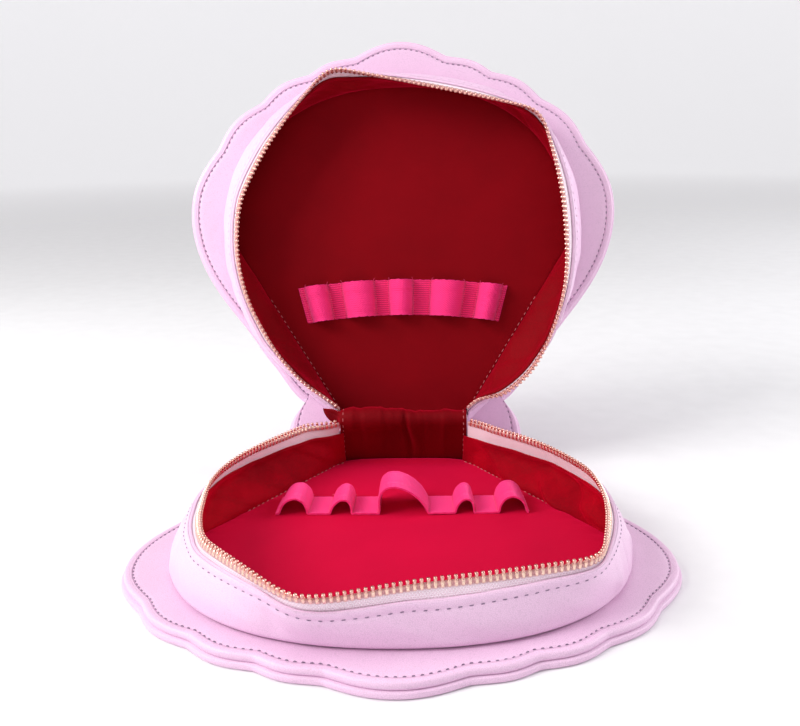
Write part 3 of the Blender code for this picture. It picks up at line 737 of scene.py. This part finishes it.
def gusset_offset(half, t, w):
    """How far the soft leather stands out from its plain wall: foot crease, hem and creases."""
    up = FOOT_W - w
    down = w - rim_w(half, t) - leather_drop(half, t)
    seed = 1.0 if half.name == "base" else 4.0
    foot = -0.0009 * np.exp(-(up / 0.0007) ** 2) + 0.0003 * np.exp(-((up - 0.0022) / 0.0016) ** 2)
    row = -0.00030 * np.exp(-((down - HEM) / 0.0009) ** 2)
    hem = 0.00015 * np.sin(math.pi * np.clip(down / HEM, 0, 1))
    middle = np.sin(math.pi * np.clip(up / 0.019, 0, 1)) ** 1.2
    soft = 0.00045 * ripple(5.0 * t + 0.3 * up / 0.01, seed) * middle
    total = foot + row + hem + soft
    creases = ((0.345, 0.012, 0.0011, 0.22), (0.40, 0.007, -0.0008, 0.1), (0.47, 0.009, 0.0006, -0.2),
               (-0.16, 0.014, -0.0007, -0.3), (-0.42, 0.011, 0.0006, 0.2), (0.72, 0.012, -0.0006, 0.3),
               (-0.75, 0.012, -0.0006, -0.2))
    if half.name == "lid":
        creases = ((-0.135, 0.011, 0.0009, 0.2), (-0.17, 0.007, -0.0006, 0.2), (0.29, 0.010, 0.0009, -0.2),
                   (0.33, 0.007, -0.0006, -0.1), (0.60, 0.014, -0.0005, 0.2), (-0.62, 0.014, -0.0005, 0.2))
    for at, wide, high, lean in creases:
        total = total + high * middle * np.exp(-((t - at - lean * up) / wide) ** 2)
    return total


def gusset(half):
    t = np.linspace(-1, 1, 620)
    top = rim_w(half, t) + leather_drop(half, t)
    levels = []
    for s in np.concatenate([np.linspace(0, 0.12, 6), np.linspace(0.17, 0.72, 12), np.linspace(0.76, 0.985, 8)]):
        w = FOOT_W + (top - FOOT_W) * s
        levels.append((w, -gusset_offset(half, t, w)))
    for x in np.linspace(0, math.pi, 7):
        levels.append((top + 0.0004 - 0.0004 * math.sin(x), LEATHER / 2 * (1 - math.cos(x))))
    levels += [(FOOT_W + (top - FOOT_W) * s, LEATHER) for s in (0.9, 0.6, 0.3, 0.0)]
    rings = np.stack([wall_place(half, t, w, depth) for w, depth in levels], 1)
    obj = tube(f"{half.name}_leather_wall", rings, WALL_SKIN, half.name)
    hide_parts(f"{half.name}_gusset")
    ts = np.linspace(-0.992, 0.992, 900)
    w = rim_w(half, ts) + leather_drop(half, ts) + HEM
    path, other = (wall_place(half, ts, x, -gusset_offset(half, ts, x)) for x in (w, w + 0.0005))
    normal = unit(np.cross(np.gradient(path, axis=0), other - path))
    outward = path - half.place(0.0, CENTRE_V, w)
    normal *= np.sign(np.einsum("ij,ij->i", normal, outward))[:, None]
    point, tangent, normal = spaced(path, normal, 0.0040, 0.002)
    # The base's stitches use the dark thread, painted shade; the lid's use the pale lilac thread.
    thread = SEAM_THREAD_PAINTED_SHADE if half.name == "base" else PALE_THREAD
    capsules(f"{half.name}_wall_stitches", point, tangent, normal, 0.0018, 0.00023, thread, half.name)


def zip_tape(half):
    """The woven tape with the cord along its edge that the teeth clamp on."""
    t = np.linspace(-1, 1, 620)
    rim = rim_w(half, t)
    middle = TAPE_DEPTH + TAPE / 2
    drops = (0.0148, 0.0105, 0.0075, 0.0055)
    ring = [(TAPE_DEPTH, drop) for drop in drops] + [(TAPE_DEPTH + 0.00005, 0.0040)]
    for x in np.linspace(-0.75 * math.pi, 0.75 * math.pi, 11):
        ring.append((middle + 0.00085 * math.sin(x), 0.0027 - 0.0009 * math.cos(x)))
    ring += [(TAPE_DEPTH + TAPE - 0.00005, 0.0040)] + [(TAPE_DEPTH + TAPE, drop) for drop in drops[::-1]]
    run = along(wall_place(half, t, rim + 0.004, TAPE_DEPTH))
    rings, cloth = [], []
    for depth, drop in ring:
        w = rim + drop
        rings.append(wall_place(half, t, w, depth + 0.00012 * ripple(9 * t, 3) * (drop < 0.006)))
        cloth.append(stack3(run, drop, depth))
    obj = tube(f"{half.name}_woven_tape", np.stack(rings, 1), TAPE_CLOTH, half.name,
               np.stack(cloth, 1))
    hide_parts(f"{half.name}_zip_tape")


def zip_teeth(half):
    """Every tooth of this half's chain, clamped on the tape's edge."""
    t = np.linspace(-0.996, 0.996, 3000)
    path = wall_place(half, t, rim_w(half, t), TAPE_DEPTH + TAPE / 2)
    run = along(path)
    count = int(run[-1] / TOOTH_PITCH)
    at = (np.arange(count) + 0.5) * run[-1] / count
    ts = np.interp(at, run, t)
    origin, below, ahead = (wall_place(half, ts + step, rim_w(half, ts + step) + drop, TAPE_DEPTH + TAPE / 2)
                            for step, drop in ((0.0, 0.0), (0.0, 0.004), (1e-3, 0.0)))
    down = unit(below - origin)
    length = unit(ahead - origin)
    length = unit(length - np.einsum("ij,ij->i", length, down)[:, None] * down)
    across = np.cross(length, down)
    jitter = rng.normal(0, 0.05, count)[:, None]
    length = unit(length + jitter * across)
    across = np.cross(length, down)
    rows = ((0.00, 0.70, 0.80), (0.16, 1.10, 1.20), (0.55, 1.32, 1.40), (1.10, 1.30, 1.40), (1.42, 0.90, 1.20),
            (1.72, 1.16, 1.55), (2.05, 1.46, 1.85), (3.55, 1.46, 1.85), (3.85, 1.26, 1.75), (4.05, 0.88, 1.50))
    corner = ((-1, -0.6), (-0.6, -1), (0.6, -1), (1, -0.6), (1, 0.6), (0.6, 1), (-0.6, 1), (-1, 0.6))
    local, part = [], []
    for drop, wide, thick in rows:
        for a, b in corner:
            local.append((a * wide / 2000, b * thick / 2000, drop / 1000))
            part.append(smooth((drop - 1.2) / 1.6))
    local = np.array(local)
    points = (origin[:, None] + length[:, None] * local[None, :, 0:1] + across[:, None] * local[None, :, 1:2]
              + down[:, None] * local[None, :, 2:3])
    faces = skin(len(rows), len(corner), count)
    part = np.array(part)[None] + rng.normal(0, 0.05, count)[:, None]
    obj = finish_mesh(f"{half.name}_metal_teeth", points.reshape(-1, 3), faces, ROSE_GOLD, half.name,
                      None, part.reshape(-1))
    obj.data.set_sharp_from_angle(angle=rad(50))
    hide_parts(f"{half.name}_zip_teeth")


# linings

# a fold is (place along the wall, place up it, width, height, depth, lean)
WALL_FOLDS = {
    "base": ((0.86, 0.30, 0.05, 0.30, 0.0030, 0.05), (0.74, 0.35, 0.028, 0.35, 0.0030, 0.16),
             (0.66, 0.60, 0.022, 0.28, -0.0014, 0.16), (0.60, 0.40, 0.035, 0.30, 0.0036, 0.14),
             (0.50, 0.55, 0.022, 0.30, -0.0015, 0.10), (0.44, 0.40, 0.030, 0.30, 0.0030, -0.08),
             (-0.50, 0.45, 0.035, 0.35, 0.0018, -0.05), (-0.60, 0.40, 0.030, 0.35, -0.0010, -0.08),
             (-0.72, 0.40, 0.06, 0.35, 0.0016, -0.1)),
    "lid": ((0.62, 0.45, 0.04, 0.35, 0.0010, 0.1), (-0.66, 0.45, 0.04, 0.35, 0.0010, -0.1),
            (-0.10, 0.50, 0.04, 0.30, 0.0012, 0.12)),
}


def wall_lining(half):
    t = np.linspace(-LINING_END, LINING_END, 560)
    bottom = FLOOR_TOP_W + 0.0005
    top = rim_w(half, t) + lining_drop(half, t)
    seed = 2.0 if half.name == "base" else 6.0
    outer, inner, cloth = [], [], []
    run = along(half.place(*polar(wall_angle(t, bottom), lining_radius(half, t, bottom, bottom, top)), bottom))
    side = smooth((np.abs(t) - 0.25) / 0.2)
    free = smooth((LINING_END - np.abs(t)) * 16)
    for s in np.concatenate([np.linspace(0, 0.9, 22), np.linspace(0.93, 1.0, 5)]):
        w = bottom + (top - bottom) * s
        a = wall_angle(t, w)
        r = lining_radius(half, t, w, bottom, top)
        body = max(math.sin(math.pi * s), 0) ** 0.8
        sag = 0.0006 * body * (1 + ripple(7 * t + 0.8 * s, seed))
        fold = 0.0011 * body * side * smooth(0.5 + 0.5 * ripple(6.5 * t - 0.8 * s, seed + 1)) ** 2
        hem = 0.00035 * math.exp(-((s - 0.95) / 0.03) ** 2)
        for at, up, wide, tall, high, lean in WALL_FOLDS[half.name]:
            fold = fold + high * np.exp(-((t - at - lean * (s - up)) / wide) ** 2 - ((s - up) / tall) ** 2)
        outer.append(half.place(*polar(a, r - (sag + fold) * free * 0.9), w))
        inner.append(half.place(*polar(a, r - LINING - (sag + fold + hem) * free), w))
        cloth.append(stack3(run, w, 0.0))
    rings = np.stack(outer + inner[::-1], 1)
    # Painted light: the base wall takes the brighter copy of the satin.
    cloth_mat = RED_SATIN_PAINTED_LIT if half.name == "base" else RED_SATIN
    obj = tube(f"{half.name}_lining_wall", rings, cloth_mat, half.name,
               np.stack(cloth + cloth[::-1], 1))
    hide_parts(f"{half.name}_wall_lining")


def floor_lining(half):
    """The padded cloth on the panel, with shallow puckers along its seam."""
    t = np.linspace(-1, 1, 420)
    a = wall_angle(t, FOOT_W)
    edge_u, edge_v = polar(a, seam_radius(a))
    back = np.linspace(1, -1, 60)[1:-1]
    edge_u = np.concatenate([edge_u, edge_u[-1] * back])
    edge_v = np.concatenate([edge_v, edge_v[0] - 0.0020 * (1 - np.abs(back) ** 12)])
    centre = np.array([0.0, 0.080])
    flat = np.stack([edge_u, edge_v], -1)
    run = along(flat)
    rings, cloth = [half.place(edge_u, edge_v, FOOT_W)], [stack3(edge_u, edge_v, 0.0)]
    for share in (1.0, 0.992, 0.982, 0.968, 0.95, 0.925, 0.89, 0.84, 0.77, 0.68, 0.57, 0.44, 0.30, 0.16, 0.05):
        p = shrink(flat, share, centre)
        away = (1 - share) * 0.085
        pucker = 0.00025 * ripple(run / 0.018, 3.0) * math.exp(-(away / 0.006) ** 2) * (share < 1)
        slow = 0.00030 * ripple(p[:, 0] / 0.09 + p[:, 1] / 0.15, 1.0) * (1 - math.exp(-(away / 0.012) ** 2))
        hem = -0.00035 * math.exp(-(away / 0.0012) ** 2)
        middle = 1 - np.clip(np.abs(p[:, 0]) / 0.034, 0, 1) ** 4
        at_back = np.exp(-((p[:, 1] - flat[:, 1].min()) / 0.0045) ** 2) * middle
        w = FLOOR_TOP_W - hem - pucker - slow - 0.0014 * at_back
        rings.append(half.place(p[:, 0], p[:, 1], np.minimum(w, FOOT_W - 0.0004)))
        cloth.append(stack3(p[:, 0], p[:, 1], 0.0))
    # Painted light: the base floor takes the brighter copy of the satin, a painted sheen.
    cloth_mat = RED_SATIN_PAINTED_SHEEN if half.name == "base" else RED_SATIN
    obj = tube(f"{half.name}_lining_floor", np.array(rings), cloth_mat, half.name, np.array(cloth))
    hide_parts(f"{half.name}_floor_lining")
    inside = shrink(flat, 0.982, centre)
    for name, keep in (("left", inside[:, 0] < -0.030), ("right", inside[:, 0] > 0.030)):
        part = inside[keep & (inside[:, 1] < 0.062) & (inside[:, 1] > -0.003)]
        part = part[np.argsort(part[:, 1])]
        path = half.place(part[:, 0], part[:, 1], FLOOR_TOP_W - 0.00005)
        normal = np.broadcast_to(half.turn(0.0, 0.0, -1.0), path.shape)
        point, tangent, normal = spaced(path, normal, 0.0032)
        capsules(f"{half.name}_floor_stitches_{name}", point, tangent, normal, 0.0018, 0.00022, RED_THREAD,
                 half.name)


# the spine

def spine_path(foot_w):
    """The leather's outer face across the fold, in the row's y-z plane, from base foot to lid foot."""
    w = np.linspace(foot_w, 0.0042, 26)
    base = BASE.place(0.0, spine_v(w), w)[:, 1:]
    lid = LID.place(0.0, spine_v(w), w)[::-1, 1:]
    control = np.array([CENTRE_V + 0.0008, HALF_DEPTH - 0.0012])
    s = np.linspace(0, 1, 22)[1:-1, None]
    fold = (1 - s) ** 2 * base[-1] + 2 * s * (1 - s) * control + s * s * lid[0]
    return np.concatenate([base, fold, lid])


class Spine:
    """One strip of the spine across the fold, depth inside the leather's outer face."""

    def __init__(self, foot_w, depth, thickness, soft):
        self.path = spine_path(foot_w)
        tangent = unit(np.gradient(self.path, axis=0))
        self.inward = np.stack([-tangent[:, 1], tangent[:, 0]], -1)
        if self.inward[len(self.path) // 2, 1] < 0:
            self.inward = -self.inward
        self.run = along(self.path)
        self.top = int(np.argmax(self.path[:, 1]))
        self.depth = depth
        self.thickness = thickness
        self.soft = soft
        self.half_width = HINGE_WIDTH / 2 - LEATHER

    def lift(self, x):
        """How far the strip stands in from its plain place at u = x."""
        if not self.soft:
            return np.zeros(len(self.run))
        q = x / self.half_width
        near = np.exp(-((self.run - self.run[self.top]) / 0.0052) ** 2)
        left = 1 - smooth((x + 0.0012) / 0.0030)
        puff = near * (0.0006 + 0.0022 * left * (1 - 0.35 * smooth(q + 1)) + 0.0004 * smooth((q - 0.25) / 0.6)
                       + 0.0004 * ripple(np.array(q * 2.6), 1.5)) * (1 - 0.6 * abs(q) ** 8)
        body = np.sin(math.pi * np.clip(self.run / self.run[-1], 0, 1))
        below = smooth((self.run[self.top] - self.run + 0.002) / 0.004)
        fold_x = 0.0006 + 0.0035 * smooth((self.run[self.top] - self.run) / 0.020)
        crease = -0.0018 * np.exp(-((x - fold_x) / 0.0014) ** 2) * below * body
        ridge = 0.0012 * np.exp(-((x - fold_x - 0.0034) / 0.0024) ** 2) * below * body
        belly = 0.0009 * left * np.exp(-((q + 0.55) / 0.4) ** 2) * below * body
        sway = 0.0005 * ripple(np.array(q * 1.9), 4.0) * body * (1 - abs(q) ** 4)
        return puff + crease + ridge + belly + sway

    def ring(self, x, share=1.0):
        lift = self.lift(max(min(x, self.half_width), -self.half_width))
        path = self.path + self.inward * (self.depth + lift)[:, None]
        ring = np.concatenate([path, (path + self.inward * self.thickness)[::-1]])
        if share < 1.0:
            rise = 0.0024 * smooth((abs(x) - self.half_width) / 0.0045)
            middle = path[self.top] + np.array([-0.0006, 0.0001 + rise])
            ring = middle + (ring - middle) * share
        return np.concatenate([np.full((len(ring), 1), x), ring], 1)


def fold_blend(obj):
    """Bake a piece's transform into its mesh; it rides on neither body."""
    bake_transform(obj)


def spine_leather():
    strip = Spine(FOOT_W, 0.0, LEATHER, False)
    u = np.linspace(-strip.half_width, strip.half_width, 40)
    away = smooth((np.abs(strip.run - strip.run[strip.top]) - 0.006) / 0.004)
    rings = [strip.ring(x) for x in u]
    for side in (-1, 1):
        for share in (0.5, 1.0):
            ring = strip.ring(side * strip.half_width)
            ring[:, 0] += side * share * (0.0002 + 0.0012 * np.concatenate([away, away[::-1]]))
            ring[len(away):, 1:] += (strip.inward * (0.0009 * share * away)[:, None])[::-1]
            rings = [ring] + rings if side < 0 else rings + [ring]
    obj = tube("spine_leather", np.array(rings), WALL_SKIN, None)
    fold_blend(obj)
    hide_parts("base_hinge_leather", "lid_hinge_leather")


def spine_lining():
    strip = Spine(FLOOR_TOP_W - GAP, LEATHER + GAP, LINING, True)
    wide = strip.half_width
    u = np.linspace(-wide, wide, 110)
    ear = ((9.9, 0.02), (9.6, 0.07), (9, 0.12), (8, 0.17), (7, 0.21), (6, 0.24), (5, 0.26), (4, 0.28), (3, 0.30),
           (2, 0.32), (1.2, 0.37), (0.6, 0.52))
    places = [(-wide - 0.0009 * k, share) for k, share in ear] + [(x, 1.0) for x in u]
    run = np.concatenate([strip.run, strip.run[::-1]])
    cloth = np.array([stack3(x, run, 0.0) for x, _ in places])
    rings = np.array([strip.ring(x, share) for x, share in places])
    # Painted shade: the spine's lining takes the darker copy of the satin.
    obj = tube("spine_lining", rings, RED_SATIN_PAINTED_SHADE, None, cloth)
    fold_blend(obj)
    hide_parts("base_hinge_lining", "lid_hinge_lining")
    for name, x in (("left", -wide + 0.0016), ("right", wide - 0.0016)):
        lift = strip.depth + strip.thickness + strip.lift(x)
        path = strip.path + strip.inward * (lift - 0.00005)[:, None]
        path = stack3(x, *path.T)
        normal = stack3(0.0, *strip.inward.T)
        point, tangent, normal = spaced(path, normal, 0.0034, 0.001)
        stitches = capsules(f"spine_stitches_{name}", point, tangent, normal, 0.0018, 0.00018, RED_THREAD, None)
        fold_blend(stitches)


# elastic

def band_line(half):
    """The band's underside along its length (u, height, share in a loop), and the loops' feet."""
    u, h, free = [-half.band_end], [0.0], [0.0]
    feet = []

    def flat_to(place):
        u.extend(np.linspace(u[-1], place, 14)[1:])
        h.extend([0.0] * 13)
        free.extend([0.0] * 13)

    for middle, width, height, lean in half.loops:
        start, stop = middle - width / 2, middle + width / 2
        flat_to(start)
        feet += [start, stop]
        turn = np.linspace(math.pi, 0, 40)[1:-1]
        rise = np.sin(turn) ** 0.8
        across = np.cos(turn) * (width / 2 - 0.0005) * (1 - 0.12 * rise)
        u.extend(middle + across + lean * width / 2 * rise ** 1.4)
        h.extend((height - 0.0009) * rise)
        free.extend(rise)
        for values, last in ((u, stop), (h, 0.0), (free, 0.0)):
            values.append(last)
    flat_to(half.band_end)
    return np.array(u), np.array(h), np.array(free), feet


def band_warp(half, u, q):
    """A band point's (u, v) from its run across the floor and its place q across the width."""
    share = u / half.band_end
    if half.name == "lid":
        return u * (1 + 0.092 * q), half.band_v + 0.0010 - 0.0040 * share ** 2 + q * 0.0190
    return u * (1 + 0.015 * q), half.band_v - 0.0006 * share ** 2 + q * 0.0196


def elastic_band(half):
    u, h, free, feet = band_line(half)
    line = np.stack([u, h], -1)
    tangent = unit(np.gradient(line, axis=0))
    up = np.stack([-tangent[:, 1], tangent[:, 0]], -1)
    run = along(line)
    rest = FLOOR_TOP_W - GAP
    q = np.linspace(-0.5, 0.5, 15)
    under, over, cloth = [], [], []
    for k in q:
        edge = 0.00022 * ripple(run / 0.004, 5 + k) * (abs(k) > 0.45)
        lift = 0.0003 * free * ripple(np.array(k * 2.0), 2.0)
        bulge = 0.00030 * (1 - free) * np.maximum(np.cos(math.pi * k), 0)
        for store, offset in ((under, 0.0), (over, BAND + bulge)):
            p = line + up * (offset + lift)[:, None]
            uu, vv = band_warp(half, p[:, 0], k + edge / 0.02)
            store.append(half.place(uu, vv, rest - np.maximum(p[:, 1], 0.0)))
        cloth.append(stack3(run, k * BAND_WIDTH, 0.0))
    rings = np.stack(under + over[::-1], 1)
    # Painted shade: the lid band's flats get darker rib grooves and the base band's get none, as the lid's flats
    # lie in shade.
    flat_shade = 1.0 if half.name == "lid" else 0.0
    rib_shade_share = np.repeat((flat_shade * (1 - smooth(free * 1.8)))[:, None], rings.shape[1], 1)
    obj = tube(f"{half.name}_elastic", rings, PINK_ELASTIC, half.name,
               np.stack(cloth + cloth[::-1], 1), rib_shade_share)
    obj.data.set_sharp_from_angle(angle=rad(60))
    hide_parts(f"{half.name}_elastic_band")
    ends = [-half.band_end + 0.0012] + feet + [half.band_end - 0.0012]
    shifts = np.array([0.0] + [-0.0007, 0.0007] * len(half.loops) + [0.0])
    tack_u, k = (x.reshape(-1) for x in np.meshgrid(ends + shifts, np.linspace(-0.46, 0.46, 13), indexing="ij"))
    w = rest - BAND - 0.00028 * np.cos(math.pi * k)
    point, ahead = (half.place(*band_warp(half, tack_u, k + step), w) for step in (0.0, 0.05))
    normal = np.broadcast_to(half.turn(0.0, 0.0, -1.0), point.shape)
    capsules(f"{half.name}_bar_tacks", point, unit(ahead - point), normal, 0.0012, 0.00015, PINK_THREAD, half.name,
             skew=0.25, wobble=0.2)
    tails(half, feet, rest - BAND)


def tails(half, feet, w):
    """Short thread ends left at the bar-tacks."""
    points = []
    k = 0.5 if half.name == "lid" else -0.5
    for i, foot in enumerate(feet):
        uu, vv = band_warp(half, foot, k)
        length = 0.0006 + 0.0010 * abs(math.sin(3.1 * i + 1))
        sway = 0.0009 * math.sin(2.3 * i + 0.4)
        s = np.linspace(0, 1, 6)
        run_v = vv + (1 if k > 0 else -1) * length * s
        centre = half.place(uu + sway * s ** 2, run_v, w - 0.0009 * np.sin(math.pi * s * 0.9))
        for c, size in zip(centre, 0.00016 * (1 - 0.4 * s)):
            for angle in (2 * math.pi * x / 5 for x in range(5)):
                points.append(c + half.turn(size * math.cos(angle), 0.0, size * math.sin(angle)))
    points = np.array(points)
    finish_mesh(f"{half.name}_thread_ends", points, skin(6, 5, len(feet)), PINK_THREAD, half.name,
                points * np.array([1.0, 0.0, 0.0]))


# slider

def metal(name, points, faces, shade, bevel, segments, matrix):
    """A metal piece with rounded edges, riding on the base."""
    obj = finish_mesh(name, points, faces, ROSE_GOLD, None, None, np.full(len(points), shade))
    mod = obj.modifiers.new("round", "BEVEL")
    mod.width = bevel
    mod.segments = segments
    obj.matrix_world = matrix
    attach(obj, "base")
    return obj


def centre_of(node):
    low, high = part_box(node)
    return Matrix.Translation((Vector(low) + Vector(high)) / 2)


def slider():
    """The slider behind the spine's left end, with its pull lying down along it."""
    turn = Matrix.Rotation(math.atan2(HINGE_LEAN, FOOT_W - RIM_GAP), 4, "X")
    width, length, height, plate = 0.0080, 0.0105, 0.0044, 0.00065
    corners = np.array([(a, b, c) for a in (-1, 1) for b in (-1, 1) for c in (-1, 1)])
    faces = [[0, 1, 3, 2], [4, 6, 7, 5], [0, 4, 5, 1], [2, 3, 7, 6], [0, 2, 6, 4], [1, 5, 7, 3]]
    blocks = [metal(f"zip_slider_{name}", corners * size, faces, 0.1, bevel, 4,
                    centre_of("zip_slider") @ turn @ Matrix.Translation((0, y, z)))
              for name, size, bevel, y, z in (
                  ("front_plate", (width / 2, plate, length / 2), 0.0005, plate - height / 2, 0),
                  ("back_plate", (width / 2, plate, length / 2), 0.0005, height / 2 - plate, 0),
                  ("post", (width / 6, height / 2 - 0.0008, length / 3.2), 0.0004, 0, 0.0008))]
    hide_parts("zip_slider")
    steps = 24
    turns = [2 * math.pi * i / steps for i in range(steps)]
    hole = [(0.0014 * math.cos(x), 0.0055 + 0.0014 * math.sin(x)) for x in turns]
    rim = []
    for c, s in ((math.cos(x), math.sin(x)) for x in turns):
        x, z = 0.0031 * np.sign(c) * abs(c) ** 0.45, 0.0085 * np.sign(s) * abs(s) ** 0.45
        rim.append((x * (0.72 + 0.28 * (1 - (z + 0.0085) / 0.017)), z))
    rings = ((hole, -0.0005), (hole, 0.0005), (rim, 0.0007), (rim, -0.0007))
    points = np.array([(x, y, z) for ring, y in rings for x, z in ring])
    faces = [[i * steps + j, i * steps + (j + 1) % steps, (i + 1) % 4 * steps + (j + 1) % steps,
              (i + 1) % 4 * steps + j] for i in range(4) for j in range(steps)]
    pull = metal("zip_pull_tab", points, faces, 0.2, 0.0002, 2, centre_of("zip_pull") @ turn)
    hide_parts("zip_pull")


for half in (BASE, LID):
    outer_panel(half)
    inner_panel(half)
    flange_stitches(half)
    gusset(half)
    zip_tape(half)
    zip_teeth(half)
    wall_lining(half)
    floor_lining(half)
    elastic_band(half)
spine_leather()
spine_lining()
slider()


# studio

def studio():
    mat, tree, shader = nodes_of("pale studio paper")
    grain = noise(tree, coordinates(tree), 60, 4)
    paper = ramp(tree, grain, ((0.3, (0.80, 0.80, 0.81)), (0.7, (0.83, 0.83, 0.84))))
    tree.links.new(paper, shader.inputs["Base Color"])
    fill(shader, Roughness=0.9, Specular_IOR_Level=0.2, Emission_Strength=1.0)
    # Painted light: the paper glows, not at all near the middle and more the further out, to brighten the far
    # floor and backdrop.
    far = add(tree, "ShaderNodeVectorMath", operation="LENGTH")
    tree.links.new(coordinates(tree), far.inputs[0])
    glow = ramp(tree, maths(tree, "MULTIPLY", far.outputs["Value"], 0.25),
                ((0.2, (0, 0, 0)), (0.62, (0.42, 0.42, 0.43))))
    tree.links.new(glow, shader.inputs["Emission Color"])
    flat, curve, middle, sides = 2.8, 1.3, 0.05, 64
    bends = [math.pi / 2 * i / 12 for i in range(1, 13)]
    profile = [(0.6, 0.0), (1.5, 0.0), (flat, 0.0)]
    profile += [(flat + curve * math.sin(x), curve - curve * math.cos(x)) for x in bends]
    turns = [2 * math.pi * k / sides for k in range(sides)]
    points = [(0.0, middle, 0.0)]
    points += [(r * math.cos(x), middle + r * math.sin(x), z) for r, z in profile for x in turns]
    faces = [[0, 1 + k, 1 + (k + 1) % sides] for k in range(sides)]
    for i in range(len(profile) - 1):
        for k in range(sides):
            a, b = 1 + i * sides + k, 1 + i * sides + (k + 1) % sides
            faces.append([a, a + sides, b + sides, b])
    mesh = bpy.data.meshes.new("studio_floor")
    mesh.from_pydata(points, [], faces)
    mesh.materials.append(mat)
    mesh.shade_smooth()
    linked("studio_floor", mesh)


def area_light(name, position, target, size, power, colour):
    data = bpy.data.lights.new(name, "AREA")
    data.shape = "RECTANGLE"
    data.size, data.size_y = size
    data.energy = power
    data.color = colour
    obj = linked(name, data)
    obj.location = position
    obj.rotation_euler = (Vector(target) - Vector(position)).to_track_quat("-Z", "Y").to_euler()


def camera():
    """The photo's camera: place, turns and focal length worked out from the two halves' outlines."""
    yaw, pitch, roll = rad(-1.34), rad(14.68), rad(-0.99)
    forward = Vector((math.sin(yaw) * math.cos(pitch), math.cos(yaw) * math.cos(pitch), -math.sin(pitch)))
    right = Vector((math.cos(yaw), -math.sin(yaw), 0))
    up = right.cross(forward)
    across = right * math.cos(roll) + up * math.sin(roll)
    upward = -right * math.sin(roll) + up * math.cos(roll)
    data = bpy.data.cameras.new("photo_camera")
    data.sensor_fit = "HORIZONTAL"
    data.sensor_width = 36.0
    focal_pixels, photo_width = 975.6, 800
    data.lens = focal_pixels * data.sensor_width / photo_width
    obj = linked("photo_camera", data)
    turn = Matrix((across, upward, -forward)).transposed().to_4x4()
    obj.matrix_world = Matrix.Translation((0.0100, -0.3947, 0.1874)) @ turn
    bpy.context.scene.camera = obj


studio()
camera()
area_light("key_light", (-1.15, -0.55, 1.00), (0, 0.05, 0.08), (0.7, 0.7), 18, (1.0, 0.985, 0.97))
area_light("left_light", (-0.72, 0.02, 0.50), (-0.08, 0.08, 0.03), (0.35, 0.35), 2.0, (1.0, 0.99, 0.99))
area_light("fill_light", (1.30, 0.30, 0.60), (0, 0.05, 0.08), (0.8, 0.8), 12.5, (0.98, 0.98, 1.0))
area_light("front_light", (0.10, -1.50, 0.75), (0, 0.05, 0.08), (0.9, 0.9), 1.8, (1.0, 1.0, 1.0))
area_light("top_light", (0.0, -0.05, 1.35), (0, 0.05, 0.0), (1.1, 1.1), 5.2, (1.0, 1.0, 1.0))
world = bpy.data.worlds.new("studio_air")
world.use_nodes = True
fill(world.node_tree.nodes["Background"], Color=(0.97, 0.93, 0.96, 1.0), Strength=0.31)
bpy.context.scene.world = world
bpy.context.scene.view_settings.view_transform = "Standard"
